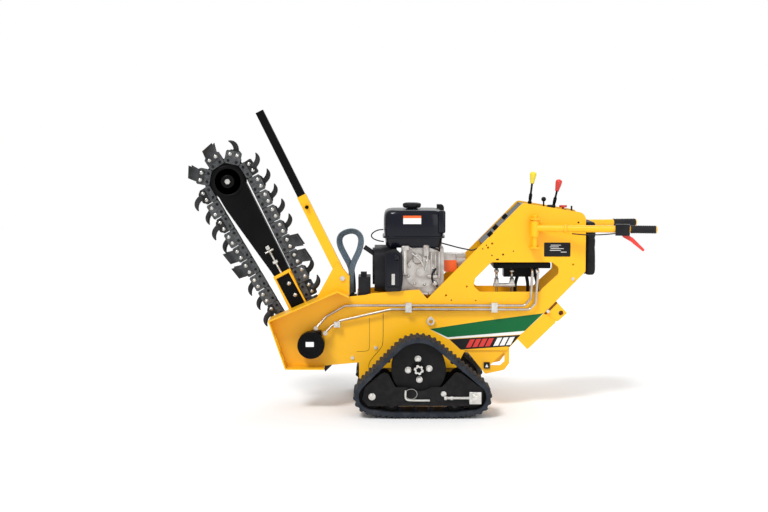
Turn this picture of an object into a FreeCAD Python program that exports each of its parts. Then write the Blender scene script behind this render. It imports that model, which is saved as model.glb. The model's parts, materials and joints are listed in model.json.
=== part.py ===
import FreeCAD, Part
import math
import os
import Sketcher

# A walk-behind trencher on rubber tracks.
# +X points to the operator's handles, +Z up, the ground is Z = 0, and Y = 0 is the middle of the machine.
# X = 0 is the axis of the track drive sprockets. Lengths are millimetres, angles are degrees.

SIZES = {
    # chassis side plates
    "plate_face": 153,
    "plate_wall": 6,
    "arm_top": 587,
    "notch_x": 47,
    "notch_height": 541,
    "console_front_x": 512,
    "console_front_height": 1012,
    "console_rear_x": 822,
    "console_rear_height": 962,
    "console_rear_bottom": 676,
    "stern_x": 683,
    "stern_height": 533,
    "belly_rear_x": 437,
    "belly_height": 286,
    "keel_height": 130,
    "seam_x": -171,
    "seam_height": 315,
    "bow_x": -288,
    "bow_height": 226,
    "window_left": 304,
    "window_right": 690,
    "window_bottom": 576,
    "window_top": 721,
    "pocket_round": 16,
    "bolt_hole": 5,
    "deck_height": 541,
    # trencher head and boom
    "head_x": -520,
    "head_height": 324,
    "boom_angle": 118.03,
    "boom_length": 893,
    "head_pitch_radius": 68,
    "nose_pitch_radius": 104,
    "boom_half_width": 30,
    "nose_disc_radius": 84,
    "bar_start": 215,
    "arm_half_width": 36,
    "arm_wall": 6,
    "arm_top_x": 369,
    "shaft_radius": 22,
    "hub_radius": 46,
    "auger_radius": 100,
    "auger_start": 96,
    "auger_end": 330,
    "bearing_clearance": 0.08,
    "gap": 0.8,
    # digging chain
    "chain_pitch": 42,
    "roller_radius": 11,
    "pin_radius": 6.5,
    "link_length": 80,
    "link_root": 14,
    "link_height": 52,
    "link_wall": 6,
    "inner_half": 12,
    "tooth_reach": 100,
    "tooth_spread": 66,
    # head guard and restraint post
    "guard_face": 255,
    "guard_far_edge": 79,
    "guard_wall": 6,
    "motor_radius": 66,
    "motor_face": 250,
    "post_hinge_x": -369,
    "post_hinge_height": 641,
    "post_angle": 116.4,
    "post_side": 46,
    "post_wall": 3,
    "post_length": 452,
    "post_centre": 108,
    "bar_side": 39.2,
    "bar_reach": 911,
    # tracks
    "track_centre": 355,
    "belt_width": 180,
    "belt_wall": 13,
    "lug_height": 16,
    "lug_pitch": 25,
    "sprocket_height": 231,
    "sprocket_rim": 131,
    "idler_rim": 62,
    "front_idler_x": -222,
    "front_idler_height": 105,
    "rear_idler_x": 258,
    "rear_idler_height": 102,
    "roller_rim": 35,
    "front_roller_x": -130,
    "rear_roller_x": 170,
    "drive_lug_height": 14,
    "frame_plate_wall": 8,
    "frame_half_width": 78,
    # engine
    "tank_front_x": -172,
    "tank_rear_x": 136,
    "tank_bottom": 792,
    "tank_top": 976,
    "tank_half_width": 150,
    "crankcase_rear_x": 111,
    "shroud_front_x": -212,
    "shroud_rear_x": -162,
    "crank_height": 690,
    "engine_half_width": 125,
    "pump_end_x": 239,
    # hydraulic tubes
    "tube_radius": 6.35,
    "tube_plane": 176,
    # handles
    "handle_height": 891,
    "handle_radius": 17,
    "handle_hinge_x": 568,
    "handle_hinge_y": 195,
    "handle_splay": 11,
    "handle_length": 585,
    "grip_radius": 20,
    "grip_length": 124,
}

doc = FreeCAD.newDocument("Trencher")
sheet = doc.addObject("Spreadsheet::Sheet", "Sizes")
for row, (alias, number) in enumerate(SIZES.items(), start=1):
    sheet.set("A%d" % row, str(number))
    sheet.setAlias("A%d" % row, alias)
doc.recompute()


class Dim:
    """A size that knows its number and the sheet expression that gives it."""

    def __init__(self, number, text):
        self.number = number
        self.text = text

    def __add__(self, other):
        other = dim(other)
        return Dim(self.number + other.number, "(%s + %s)" % (self.text, other.text))

    def __sub__(self, other):
        other = dim(other)
        return Dim(self.number - other.number, "(%s - %s)" % (self.text, other.text))

    def __mul__(self, other):
        other = dim(other)
        return Dim(self.number * other.number, "(%s * %s)" % (self.text, other.text))

    def __truediv__(self, other):
        other = dim(other)
        return Dim(self.number / other.number, "(%s / %s)" % (self.text, other.text))

    def __radd__(self, other):
        return dim(other) + self

    def __rsub__(self, other):
        return dim(other) - self

    def __rmul__(self, other):
        return dim(other) * self

    def __neg__(self):
        return Dim(-self.number, "(0 - %s)" % self.text)

    def __float__(self):
        return float(self.number)


def dim(value):
    """A plain number as a Dim; a Dim as it is."""
    if isinstance(value, Dim):
        return value
    if value < 0:
        return Dim(float(value), "(0 - %.10g)" % -value)
    return Dim(float(value), "%.10g" % value)


def root(value):
    return Dim(math.sqrt(value.number), "sqrt(%s)" % value.text)


def cosine(angle):
    angle = dim(angle)
    return Dim(math.cos(math.radians(angle.number)), "cos(%s * 1 deg)" % angle.text)


def sine(angle):
    angle = dim(angle)
    return Dim(math.sin(math.radians(angle.number)), "sin(%s * 1 deg)" % angle.text)


class Sheet:
    """Reads a size of the sheet by its alias."""

    def __getattr__(self, alias):
        return Dim(float(sheet.get(alias)), "Sizes." + alias)


size = Sheet()
nodes = []


def vector(x, y, z):
    return FreeCAD.Vector(float(x), float(y), float(z))


def bind(item, prop, value):
    item.setExpression(prop, dim(value).text)


def place(item, x, y, z, axis=(0, 0, 1), angle=0):
    """Puts an object at a bound position, turned by a bound angle about a fixed axis."""
    turn = FreeCAD.Rotation(vector(*axis), float(angle) or 1)
    item.Placement = FreeCAD.Placement(vector(x, y, z), turn)
    for letter, value in zip("xyz", (x, y, z)):
        bind(item, ".Placement.Base." + letter, value)
    bind(item, ".Placement.Rotation.Angle", angle)
    return item


def node(name, item):
    """Names a finished sub-part."""
    item.Label = name
    nodes.append(item)
    return item


def box(x, y, z):
    """A block between the low and high value of each axis."""
    item = doc.addObject("Part::Box", "Block")
    for prop, (low, high) in zip(("Length", "Width", "Height"), (x, y, z)):
        bind(item, prop, dim(high) - low)
    return place(item, x[0], y[0], z[0])


TURNS = {"x": ((0, 1, 0), 90), "y": ((1, 0, 0), -90), "z": ((0, 0, 1), 0)}


def along(item, axis, low, a, b):
    """Stands an upright object along an axis, from low, at its other two coordinates."""
    spot = {"x": (low, a, b), "y": (a, low, b), "z": (a, b, low)}[axis]
    turn_axis, angle = TURNS[axis]
    return place(item, *spot, turn_axis, angle)


def rod(axis, radius, low, high, a, b):
    """A round bar along an axis, from low to high, at its other two coordinates."""
    item = doc.addObject("Part::Cylinder", "Rod")
    bind(item, "Radius", radius)
    bind(item, "Height", dim(high) - low)
    return along(item, axis, low, a, b)


def hexagon(axis, radius, low, high, a, b):
    """A hexagon bar along an axis, such as a nut or a bolt head."""
    item = doc.addObject("Part::Prism", "Hexagon")
    item.Polygon = 6
    bind(item, "Circumradius", radius)
    bind(item, "Height", dim(high) - low)
    return along(item, axis, low, a, b)


def fuse(*items):
    item = doc.addObject("Part::MultiFuse", "Joined")
    item.Shapes = list(items)
    return item


def group(*items):
    """Separate solids of one node."""
    item = doc.addObject("Part::Compound", "Group")
    item.Links = list(items)
    return item


def cut(base, *tools):
    item = doc.addObject("Part::Cut", "Opened")
    item.Base = base
    item.Tool = tools[0] if len(tools) == 1 else fuse(*tools)
    return item


def solid(shape, name="Formed"):
    item = doc.addObject("Part::Feature", name)
    item.Shape = shape
    return item


def mirror(item):
    """The same object on the other side of Y = 0."""
    twin = doc.addObject("Part::Mirroring", "Mirrored")
    twin.Source = item
    twin.Base = vector(0, 0, 0)
    twin.Normal = vector(0, 1, 0)
    return twin


def hole(a, b, radius):
    """A circle of a sketch."""
    return ("circle", dim(a), dim(b), dim(radius))


def rectangle(a_low, a_high, b_low, b_high):
    return [(a_low, b_low), (a_high, b_low), (a_high, b_high), (a_low, b_high)]


def draw(sketch, shape):
    """Adds a closed outline or a circle whose points are bound to the sheet."""
    first = sketch.GeometryCount
    if isinstance(shape, tuple):
        _, a, b, radius = shape
        circle = Part.Circle(vector(a, b, 0), vector(0, 0, 1), float(radius))
        sketch.addGeometry(circle, False)
        spots = [(first, 3, a, b)]
        bound = sketch.addConstraint(Sketcher.Constraint("Radius", first, float(radius)))
        sketch.setExpression("Constraints[%d]" % bound, radius.text)
    else:
        corners = [vector(a, b, 0) for a, b in shape]
        following = corners[1:] + corners[:1]
        sides = [Part.LineSegment(p, q) for p, q in zip(corners, following)]
        sketch.addGeometry(sides, False)
        count = len(shape)
        joints = [
            Sketcher.Constraint("Coincident", first + i, 2, first + (i + 1) % count, 1)
            for i in range(count)
        ]
        sketch.addConstraint(joints)
        spots = [(first + i, 1, dim(a), dim(b)) for i, (a, b) in enumerate(shape)]
    for index, end, a, b in spots:
        for kind, value in (("DistanceX", a), ("DistanceY", b)):
            rule = Sketcher.Constraint(kind, -1, 1, index, end, value.number)
            bound = sketch.addConstraint(rule)
            sketch.setExpression("Constraints[%d]" % bound, value.text)


def plate(shapes, low, high, plane="XZ", rounds=()):
    """A body padded from outlines drawn on an origin plane, from low to high across that plane.

    The first shape is the outside and the others are openings. rounds lists a radius with the corners it rounds.
    """
    body = doc.addObject("PartDesign::Body", "Body")
    sketch = body.newObject("Sketcher::SketchObject", "Outline")
    origin = [f for f in body.Origin.OriginFeatures if f.Role == plane + "_Plane"][0]
    sketch.AttachmentSupport = (origin, [""])
    sketch.MapMode = "FlatFace"
    for shape in shapes:
        draw(sketch, shape)
    # the XZ plane faces -Y, so its pad starts at the high side
    bind(sketch, ".AttachmentOffset.Base.z", -dim(high) if plane == "XZ" else low)
    pad = body.newObject("PartDesign::Pad", "Pad")
    pad.Profile = sketch
    bind(pad, "Length", dim(high) - low)
    sketch.Visibility = False
    tip = pad
    for radius, corners in rounds:
        doc.recompute()
        edges = corner_edges(tip.Shape, plane, corners)
        fillet = body.newObject("PartDesign::Fillet", "Round")
        fillet.Base = (tip, edges)
        bind(fillet, "Radius", radius)
        tip = fillet
    body.Tip = tip
    return body


def corner_edges(shape, plane, corners):
    """Names of the straight edges that stand on the given corners of an outline."""
    letters = plane.lower()
    found = []
    for index, edge in enumerate(shape.Edges, start=1):
        ends = [v.Point for v in edge.Vertexes]
        if len(ends) != 2:
            continue
        for a, b in corners:
            spot = (float(a), float(b))
            if all(
                math.hypot(getattr(p, letters[0]) - spot[0], getattr(p, letters[1]) - spot[1]) < 0.01
                for p in ends
            ):
                found.append("Edge%d" % index)
    return found


def inset(before, corner, after, wall):
    """The corner moved in by a wall thickness, to the right of the way from before to after."""
    normals = []
    for (ax, az), (bx, bz) in ((before, corner), (corner, after)):
        length = root((bx - ax) * (bx - ax) + (bz - az) * (bz - az))
        normals.append(((bz - az) / length, (ax - bx) / length))
    (px, pz), (qx, qz) = normals
    share = wall / (1 + px * qx + pz * qz)
    return corner[0] + (px + qx) * share, corner[1] + (pz + qz) * share


def bent_wire(points, bend):
    """Straight runs joined by tangent arcs of one radius."""
    edges = []
    start = points[0]
    for before, corner, after in zip(points, points[1:], points[2:]):
        back = (before - corner).normalize()
        ahead = (after - corner).normalize()
        turn = math.pi - back.getAngle(ahead)
        reach = bend * math.tan(turn / 2)
        first = corner + back * reach
        last = corner + ahead * reach
        inward = (back + ahead).normalize()
        middle = corner + inward * (bend / math.cos(turn / 2) - bend)
        edges.append(Part.LineSegment(start, first).toShape())
        edges.append(Part.Arc(first, middle, last).toShape())
        start = last
    edges.append(Part.LineSegment(start, points[-1]).toShape())
    return Part.Wire(edges)


def tube(points, radius, bend):
    """A round bar bent along points."""
    path = bent_wire([vector(*p) for p in points], float(bend))
    way = path.Edges[0].tangentAt(path.Edges[0].FirstParameter)
    ring = Part.Wire([Part.Circle(path.Edges[0].Vertexes[0].Point, way, float(radius)).toShape()])
    return solid(path.makePipeShell([ring], True, False), "Tube")


def band(points, width, thickness, bend, y):
    """A flat band bent along points of the XZ plane, its width across Y."""
    path = bent_wire([vector(x, y, z) for x, z in points], float(bend))
    start = path.Edges[0].Vertexes[0].Point
    way = path.Edges[0].tangentAt(path.Edges[0].FirstParameter)
    side = vector(0, 1, 0)
    up = way.cross(side)
    half = float(width) / 2
    thick = float(thickness) / 2
    corners = [start + side * (half * p) + up * (thick * q) for p, q in ((-1, -1), (1, -1), (1, 1), (-1, 1))]
    ring = Part.makePolygon(corners + corners[:1])
    return solid(path.makePipeShell([ring], True, False), "Band")


class Loop:
    """The closed path of a belt or chain around circles (x, z, radius), taken anticlockwise seen from -Y."""

    def __init__(self, circles):
        self.pieces = []
        count = len(circles)
        spans = []
        for (ax, az, ar), (bx, bz, br) in zip(circles, circles[1:] + circles[:1]):
            distance = math.hypot(bx - ax, bz - az)
            heading = math.atan2(bz - az, bx - ax)
            normal = heading - math.acos((ar - br) / distance)
            out = (math.cos(normal), math.sin(normal))
            start = (ax + ar * out[0], az + ar * out[1])
            end = (bx + br * out[0], bz + br * out[1])
            spans.append((normal, start, end))
        for i, circle in enumerate(circles):
            normal, start, end = spans[i]
            self.pieces.append(("line", math.dist(start, end), start, end, normal))
            turned = (spans[(i + 1) % count][0] - normal) % (2 * math.pi)
            x, z, radius = circles[(i + 1) % count]
            self.pieces.append(("arc", radius * turned, (x, z), radius, normal))
        self.length = sum(piece[1] for piece in self.pieces)

    def at(self, distance):
        """The point at a distance along the path and the angle of its outward normal."""
        distance = distance % self.length
        for kind, length, a, b, normal in self.pieces:
            if distance <= length:
                break
            distance -= length
        if kind == "line":
            share = distance / length
            return a[0] + (b[0] - a[0]) * share, a[1] + (b[1] - a[1]) * share, normal
        angle = normal + distance / b
        return a[0] + b * math.cos(angle), a[1] + b * math.sin(angle), angle

    def wire(self, y, offset=0):
        """The path as a wire at one Y, moved outward by an offset."""
        edges = []
        for kind, length, a, b, normal in self.pieces:
            if kind == "line":
                shift = vector(offset * math.cos(normal), y, offset * math.sin(normal))
                ends = [vector(p[0], 0, p[1]) + shift for p in (a, b)]
                edges.append(Part.LineSegment(*ends).toShape())
            else:
                angles = [normal, normal + length / b / 2, normal + length / b]
                spots = [
                    vector(a[0] + (b + offset) * math.cos(t), y, a[1] + (b + offset) * math.sin(t)) for t in angles
                ]
                edges.append(Part.Arc(*spots).toShape())
        return Part.Wire(edges)


# ---------------------------------------------------------------- chassis
face = size.plate_face
wall = size.plate_wall
inner = face - wall
head = (size.head_x, size.head_height)
roof = [(dim(-335), dim(562)), (dim(-391), dim(588)), (dim(-728), dim(442))]
chin = [(dim(-646), dim(205)), (dim(-456), dim(205))]
shell = roof + chin
under = [
    (shell[0][0], shell[0][1] - size.guard_wall),
    inset(shell[0], shell[1], shell[2], -size.guard_wall),
    inset(shell[1], shell[2], shell[3], -size.guard_wall),
    inset(shell[2], shell[3], shell[4], -size.guard_wall),
    (shell[4][0], shell[4][1] + size.guard_wall),
]
window = [
    (size.window_left + 56, size.window_top),
    (size.window_right - 30, size.window_top),
    (size.window_right, size.window_top - 26),
    (size.window_right, size.window_top - 56),
    (size.window_left + 304, size.window_bottom + 14),
    (size.window_left + 295, size.window_bottom),
    (size.window_left, size.window_bottom),
    (size.window_left - 30, size.window_bottom + 29),
    (size.window_left - 22, size.window_bottom + 66),
]
side_outline = [
    (size.seam_x - 69, size.keel_height),
    (size.seam_x - 69, size.bow_height),
    (size.seam_x, size.seam_height),
    (size.seam_x, 573),
    (7, size.arm_top),
    (size.notch_x, size.notch_height),
    (size.console_front_x, size.console_front_height),
    (size.console_rear_x, size.console_rear_height),
    (size.console_rear_x, size.console_rear_bottom),
    (size.stern_x, size.stern_height),
    (size.belly_rear_x, size.belly_height),
    (233, size.belly_height),
    (190, 200),
    (190, size.keel_height),
]
plate_holes = [(241, 602), (139, 558), (344, 793), (364, 813), (393, 735), (418, 759), (785, 916), (761, 710)]


def side_plate(low, high):
    openings = [hole(x, z, size.bolt_hole) for x, z in plate_holes]
    openings.append(hole(0, size.sprocket_height, 34))
    rounds = [
        (size.pocket_round, window),
        (40, [side_outline[7]]),
        (24, [side_outline[6]]),
    ]
    return plate([side_outline, window] + openings, low, high, rounds=rounds)


node("near_side_plate", side_plate(-face, -inner))
node("far_side_plate", side_plate(inner, face))

deck = box((-294, 420), (-inner, inner), (size.deck_height - 6, size.deck_height))
rails = [box((-120, 150), (y, y + 40), (size.deck_height, 558)) for y in (-80, 40)]
belly = box((-240, size.belly_rear_x), (-inner, inner), (size.belly_height - 10, size.belly_height - 4))
node("deck_plates", group(fuse(deck, *rails), belly))

cheek = [
    (size.seam_x - 69, size.keel_height),
    (size.bow_x, size.keel_height),
    (size.bow_x, size.bow_height),
    chin[1],
    chin[0],
    roof[2],
    roof[1],
    (-335, 560),
    (-257, 560),
    (-221, 569),
    (size.seam_x, 573),
    (size.seam_x, size.seam_height),
    (size.seam_x - 69, size.bow_height),
]
cheek[3:8] = [under[4], under[3], under[2], under[1], (-335, 552)]
near_cheek = plate([cheek, hole(*head, 48)], -face, -inner)
wing = [(-300, 228), (-300, 560), (size.seam_x, 573), (size.seam_x, size.seam_height), (size.seam_x - 69, 228)]
far_wing = plate([wing], inner, face)
far_cheek_outline = [(-300, 228), (-456, 232), (-590, 262), (-590, 400), (-520, 452), (-300, 530)]
far_cheek = plate([far_cheek_outline, hole(*head, 40)], 79, 87, rounds=[(30, far_cheek_outline[2:5])])
bulkhead = box((-300, -294), (-inner, inner), (228, 552))
mount_frame = fuse(near_cheek, far_wing, far_cheek, bulkhead)

ring = shell + under[::-1]
guard_near = plate([ring], -size.guard_face, -face)
top_only = roof + [under[2], under[1], under[0]]
guard_top = plate([top_only], -face, -size.guard_far_edge)
slots = [
    box((-780, -560), (-224, -190), (294, 367)),
    box((-780, -560), (-224, -190), (240, 268)),
]
node("motor_guard", cut(fuse(guard_near, guard_top), *slots))

slope = (roof[1][1] - roof[2][1]) / (roof[1][0] - roof[2][0])
gusset_outline = [
    (-497, roof[2][1] + (-497 - roof[2][0]) * slope),
    roof[1],
    (-335, 562),
    (-335, 648),
    (-396, 723),
]
post_near = size.post_centre + size.post_side / 2
post_far = size.post_centre - size.post_side / 2
gussets = [
    plate([gusset_outline, hole(size.post_hinge_x, size.post_hinge_height, 8)], low, low + 5)
    for low in (-post_near - 5.4, -post_far + 0.4)
]
mount_parts = [mount_frame] + gussets

pin_span = (-post_near - 14, -post_far + 12)
hinge = (size.post_hinge_x, size.post_hinge_height)
hinge_bolt = fuse(
    rod("y", 7.9, *pin_span, *hinge),
    hexagon("y", 13, pin_span[0], pin_span[0] + 8, *hinge),
    hexagon("y", 13, pin_span[1] - 6.4, pin_span[1], *hinge),
)

console_top = [
    (size.console_front_x, size.console_front_height - 8),
    (size.console_rear_x - 14, size.console_rear_height - 6),
    (size.console_rear_x - 14, size.console_rear_height - 12),
    (size.console_front_x, size.console_front_height - 14),
]
top_panel = plate([console_top], -inner, inner)
front_foot = (size.console_front_x - 196, size.console_front_height - 202)
console_front = [
    (size.console_front_x - 2, size.console_front_height - 14.5),
    (front_foot[0], front_foot[1]),
    (front_foot[0] + 6, front_foot[1]),
    (size.console_front_x + 4, size.console_front_height - 14.5),
]
front_panel = plate([console_front], -inner, inner)
rear_panel = box((size.console_rear_x - 8, size.console_rear_x), (-inner, inner), (690, 930))
pad_x = (size.console_rear_x + 3, size.console_rear_x + 55)
back_plate = box((size.console_rear_x, size.console_rear_x + 3), (-110, 110), (660, 915))
node("console_panels", group(top_panel, front_panel, fuse(rear_panel, back_plate)))
pad = plate([rectangle(-118, 118, 646, 926)], *pad_x, plane="YZ", rounds=[(30, rectangle(-118, 118, 646, 926))])
node("rear_pad", pad)

stern_box = [(size.stern_x - 64, 464.4), (683, 429), (540, 290), (492, 328.4)]
rise = (size.stern_height - size.belly_height) / (size.stern_x - size.belly_rear_x)
stern_box[0] = (619, size.belly_height + (619 - size.belly_rear_x) * rise)
stern_box[3] = (492, size.belly_height + (492 - size.belly_rear_x) * rise)
weight = plate([stern_box], -face, face, rounds=[(8, stern_box[1:3])])
hitch = [(689, 520), (735, 470), (690, 429), (683, 429), (627, 457)]
node("rear_weight", group(weight, plate([hitch, hole(705, 470, 12)], -145, 145)))
loop_outline = [(240, 286), (334, 169), (427, 189), (452, 222), (452, 304), (452, 318), (260, 318)]
loop_opening = [(356, 211), (407, 211), (429, 230), (429, 280)]
tie_downs = [
    cut(plate([loop_outline, loop_opening], low, low + 12, rounds=[(10, loop_outline[1:4])]), belly)
    for low in (-inner, inner - 12)
]
node("tie_downs", group(*tie_downs))

# ---------------------------------------------------------------- trencher drive
motor = fuse(
    rod("y", size.motor_radius, -size.motor_face, -face - 40, *head),
    rod("y", size.motor_radius - 16, -face - 40, -face, *head),
    rod("y", 47.5, -face, -inner + 4, *head),
    box((-520, -470), (-225, -165), (344, 390)),
    rod("y", 34, -size.motor_face - 5, -size.motor_face, *head),
)
motor_bolts = []
for step in range(12):
    spot = (head[0] + 54 * cosine(30 * step), head[1] + 54 * sine(30 * step))
    motor_bolts.append(hexagon("y", 8, -size.motor_face - 6, -size.motor_face, *spot))
node("trencher_motor", fuse(motor, *motor_bolts))

shaft_hole = size.shaft_radius + size.bearing_clearance
bearing = cut(rod("y", 40, 79, 93, *head), rod("y", shaft_hole, 70, 100, *head))
node("boom_mount", group(bearing, *mount_parts))
teeth = []
disc_radius = size.head_pitch_radius - size.roller_radius - 9
sprocket = rod("y", disc_radius, -10, 10, *head)
for step in range(10):
    tooth_angle = 36 * step
    tooth = place(
        doc.addObject("Part::Wedge", "Tooth"), head[0], 0, head[1], (0, 1, 0), -tooth_angle
    )
    tooth.Xmin, tooth.Xmax = 30, float(size.head_pitch_radius - size.roller_radius - 3 * size.gap)
    tooth.Ymin, tooth.Ymax = -9, 9
    tooth.Zmin, tooth.Zmax = -10, 10
    tooth.X2min, tooth.X2max = tooth.Xmin, tooth.Xmax
    tooth.Z2min, tooth.Z2max = -10, 10
    teeth.append(tooth)
shaft = rod("y", size.shaft_radius, -inner + 5, size.auger_end, *head)
node("head_shaft", fuse(shaft, sprocket, *teeth))
flight_path = Part.makeHelix(117, float(size.auger_end - size.auger_start) - 8, float(size.auger_radius) / 2 + 12)
profile = Part.makePolygon([vector(size.shaft_radius + 6, 0, 0), vector(size.auger_radius, 0, 0), vector(size.auger_radius, 0, 7), vector(size.shaft_radius + 6, 0, 7), vector(size.shaft_radius + 6, 0, 0)])
flight = solid(Part.Wire(flight_path).makePipeShell([profile], True, True), "Flight")
place(flight, size.head_x, size.auger_start, size.head_height, (1, 0, 0), -90)
sleeve = cut(
    rod("y", size.shaft_radius + 8, size.auger_start, size.auger_end, *head),
    rod("y", size.shaft_radius, size.auger_start - 5, size.auger_end + 5, *head),
)
node("auger", fuse(sleeve, flight))

# ---------------------------------------------------------------- boom, in its own frame: x from head to nose
boom_turn = ((0, 1, 0), -size.boom_angle)


def on_boom(item):
    return place(item, size.head_x, 0, size.head_height, *boom_turn)


chain_path = Loop(
    [
        (0, 0, float(size.head_pitch_radius)),
        (float(size.boom_length), 0, float(size.nose_pitch_radius)),
    ]
)
link_count = 2 * round(chain_path.length / float(size.chain_pitch) / 2)
step_length = chain_path.length / link_count


def arm_cheek(low, high):
    outline = [(0, -50), (190, -57), (size.arm_top_x, -69), (size.arm_top_x, 26), (190, 34), (0, 50)]
    return plate([outline], low, high, rounds=[(40, [outline[0], outline[5]])])


half = size.boom_half_width
arm_out = half + size.arm_wall
arm_near = arm_cheek(-arm_out, -half)
arm_far = arm_cheek(half, arm_out)
arm_rim = box((size.arm_top_x - 14, size.arm_top_x), (-arm_out - 14, -arm_out), (-69, 26))
arm_edge_low = box((150, size.arm_top_x), (-arm_out - 14, -arm_out), (-62, -54))
arm_edge_high = box((150, size.arm_top_x), (-arm_out - 14, -arm_out), (18, 26))
arm_hubs = [rod("y", 54, low, high, 0, 0) for low, high in ((-arm_out - 16, -half), (half, arm_out + 16))]
arm_bore = rod("y", size.shaft_radius + size.gap, -arm_out - 20, arm_out + 20, 0, 0)
spacer = box((150, 200), (-half, half), (-40, 12))
arm_shape = fuse(arm_near, arm_far, arm_rim, arm_edge_low, arm_edge_high, spacer, *arm_hubs)
node("boom_arm", on_boom(cut(arm_shape, arm_bore)))

nose = (size.boom_length, 0)
beam_outline = [(size.bar_start, -52), (412, -64), (860, -77), (860, 77), (776, 74), (395, 24), (size.bar_start, 8)]
beam = plate([beam_outline], -half, half)
nose_disc = rod("y", size.nose_disc_radius, -half, half, *nose)
idler_slot = box((size.boom_length - 98, size.boom_length + 100), (-13, 13), (-110, 110))
axle = rod("y", 17, -half, half, *nose)
node("boom_bar", on_boom(fuse(cut(fuse(beam, nose_disc), idler_slot), axle)))
hub_cap = fuse(
    rod("y", 30, -half - 7, -half, *nose),
    hexagon("y", 16, -half - 20, -half - 7, *nose),
    rod("y", 30, half, half + 7, *nose),
    hexagon("y", 16, half + 7, half + 20, *nose),
)
clamp_bolts = [hexagon("y", 9, -arm_out - 7, -arm_out, x, -28) for x in (239, 304)]
clamp_bolts += [hexagon("y", 9, arm_out, arm_out + 7, x, -28) for x in (239, 304)]
screw = fuse(
    rod("x", 7, size.arm_top_x, 520, -half - 12, -20),
    rod("y", 5, -half - 34, -half, 492, -20),
    hexagon("x", 13, 424, 440, -half - 12, -20),
    box((500, 520), (-half - 22, -half), (-30, -10)),
)
node("tension_screw", on_boom(group(screw, hub_cap, *clamp_bolts)))
idler_rim = size.nose_pitch_radius - size.roller_radius - size.gap
idler = cut(rod("y", idler_rim, -10, 10, *nose), rod("y", 17 + size.bearing_clearance, -20, 20, *nose))
node("nose_idler", on_boom(idler))


def link_spot(index):
    """The middle of a link and its turn, from its two pins."""
    ax, az, _ = chain_path.at(chain_phase + index * step_length)
    bx, bz, _ = chain_path.at(chain_phase + (index + 1) * step_length)
    turn = math.degrees(math.atan2(bz - az, bx - ax))
    return (ax + bx) / 2, (az + bz) / 2, turn, math.hypot(bx - ax, bz - az)


def set_on_link(shape, index):
    """Moves a shape made along x, with -z outward, onto a link."""
    x, z, turn, _ = link_spot(index)
    shape = shape.copy()
    shape.rotate(vector(0, 0, 0), vector(0, 1, 0), -turn)
    shape.translate(vector(x, 0, z))
    return shape


def profile_solid(points, low, high):
    wire = Part.makePolygon([vector(x, low, z) for x, z in points + points[:1]])
    return Part.Face(wire).extrude(vector(0, high - low, 0))


def with_pin_holes(item, index):
    """A link plate with its two pin holes, a little wider than the pins."""
    for pin in (index, index + 1):
        x, z, _ = chain_path.at(chain_phase + pin * step_length)
        bore_radius = float(size.pin_radius) + 0.4
        item = item.cut(Part.makeCylinder(bore_radius, 200, vector(x, -100, z), vector(0, 1, 0)))
    return item


chain_phase = 51
pair_count = link_count // 2
roots = float(size.link_root)
tall = float(size.link_height)
long_half = float(size.link_length) / 2
plate_in = float(size.inner_half + size.link_wall) + 1
plate_out = plate_in + float(size.link_wall)
pin_half = plate_out + 3
reach = float(size.tooth_reach)
spread = float(size.tooth_spread)
wide_link = [
    (-long_half + 6, roots),
    (-long_half, roots - 8),
    (-long_half, -tall + 6),
    (-long_half + 6, -tall),
    (long_half - 6, -tall),
    (long_half, -tall + 6),
    (long_half, roots - 8),
    (long_half - 6, roots),
]
short_link = [(x, max(z, -18)) for x, z in wide_link]
inner_link = [(x * 0.82, max(z, -13)) for x, z in wide_link]
shovel_pairs = (1, 2, 8, 9, 14, 15, 22, 23)
narrow_links = (0, 5, 11, 13, 17, 25)
outer_plates = []
inner_plates = []
pins = []
cups = []
shovels = []
bolts = []
horn_outline = [
    (-16, -tall + 6),
    (-14, -reach + 26),
    (4, -reach + 8),
    (46, -reach),
    (26, -reach + 18),
    (10, -reach + 34),
    (8, -tall + 6),
]
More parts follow.
